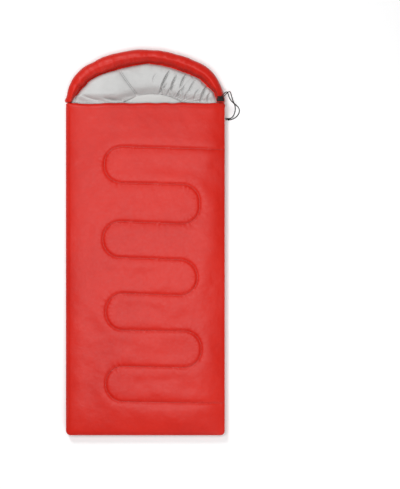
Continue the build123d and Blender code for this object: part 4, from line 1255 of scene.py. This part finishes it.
# both strands tied together in one overhand knot
t = np.linspace(0, 2 * math.pi, 160, endpoint=False)
kx, ky, kz = np.sin(t) + 2 * np.sin(2 * t), np.cos(t) - 2 * np.cos(2 * t), -np.sin(3 * t)
loop_a = np.stack([0.4485 + kx / 3 * 0.0049, 0.6690 + ky / 3 * 0.0056, 0.0066 + kz * 0.0036], 1)
knot = tube_mesh("drawcord_knot_tied", loop_a, 0.0024, CORD, closed=True)
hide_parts("drawcord_knot")
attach(knot, "back_quilt")
entry = []
for tag, y, to in (("a", 0.6722, 0.6705), ("b", 0.6656, 0.6680)):
    f = np.linspace(0, 1, 14)
    line = np.stack([0.4566 - 0.0085 * f, y + (to - y) * f**2, 0.0025 + 0.0040 * smooth(f)], 1)
    entry.append(tube_mesh("drawcord_knot_entry_" + tag, line, np.interp(f, [0, 1], [CORD_D / 2, 0.0022]), CORD))
for ob in entry:
    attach(ob, "back_quilt")
cut = []
for tag, y, dy in (("a", 0.6720, 0.0006), ("b", 0.6663, -0.0006)):
    x = np.linspace(0.4430, 0.4312, 22)
    line = np.stack([x, y + dy * np.sin((0.443 - x) * 190), 0.0040 - 0.0012 * ((0.443 - x) / 0.0118) ** 2], 1)
    r = np.interp(x, [0.4312, 0.4316, 0.4325, 0.4345, 0.4430], [0.0009, 0.0019, 0.0024, 0.0023, 0.0025])
    cut.append(tube_mesh("drawcord_cut_end_" + tag, line, r, CORD))
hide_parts("drawcord_ends")
for ob in cut:
    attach(ob, "back_quilt")
length_of(bare_points(tail_a))
length_of(bare_points(tail_b))

# ------------------------------------------------------------------ CAD parts that stay, in their own materials
KEEP = {
    "zip_tape_back": TAPE, "zip_tape_top": TAPE, "zip_stops_back": METAL, "zip_stops_top": METAL, "side_slider": METAL,
    "foot_slider": METAL, "side_slider_pull": METAL, "foot_slider_pull": METAL, "cord_lock_barrel": LOCK,
    "cord_lock_plunger": LOCK, "cord_lock_spring": SPRING,
}
for name, mat in KEEP.items():
    node = bpy.data.objects[name]
    for slot in node.material_slots:
        slot.material = mat

# ------------------------------------------------------------------ floor and light
floor = mesh_object("floor", [(-14, -14, -0.0006), (14, -14, -0.0006), (14, 14, -0.0006), (-14, 14, -0.0006)], [(0, 1, 2, 3)], COIL)
fm = Nodes("floor_paper")
fm.set(Roughness=0.85, Specular_IOR_Level=0.15)
fm.link(fm.ramp(fm.noise(1.2, 2), [(0.2, (0.935, 0.935, 0.937)), (0.8, (0.95, 0.95, 0.952))]), fm.bsdf.inputs["Base Color"])
dress(floor, fm.mat)


def area_light(name, loc, target, size, power, colour=(1, 1, 1)):
    li = bpy.data.lights.new(name, "AREA")
    li.shape = "RECTANGLE"
    li.size, li.size_y = size
    li.energy = power
    li.color = colour
    ob = bpy.data.objects.new(name, li)
    ob.location = loc
    ob.rotation_euler = (Vector(target) - Vector(loc)).to_track_quat("-Z", "Y").to_euler()
    scene.collection.objects.link(ob)
    return ob


area_light("key", (-1.7, 3.5, 4.9), (0.1, -0.1, 0.0), (1.8, 1.8), 185)
area_light("fill", (1.7, -3.9, 2.3), (0.3, -1.0, 0.0), (2.8, 2.8), 54)
area_light("top", (-0.1, -0.2, 4.6), (-0.05, -0.2, 0.0), (1.7, 3.2), 142)
world = bpy.data.worlds.new("world")
world.use_nodes = True
world.node_tree.nodes["Background"].inputs["Color"].default_value = (1, 1, 1, 1)
world.node_tree.nodes["Background"].inputs["Strength"].default_value = 0.17
scene.world = world
scene.view_settings.view_transform = "Standard"

bpy.context.view_layer.update()
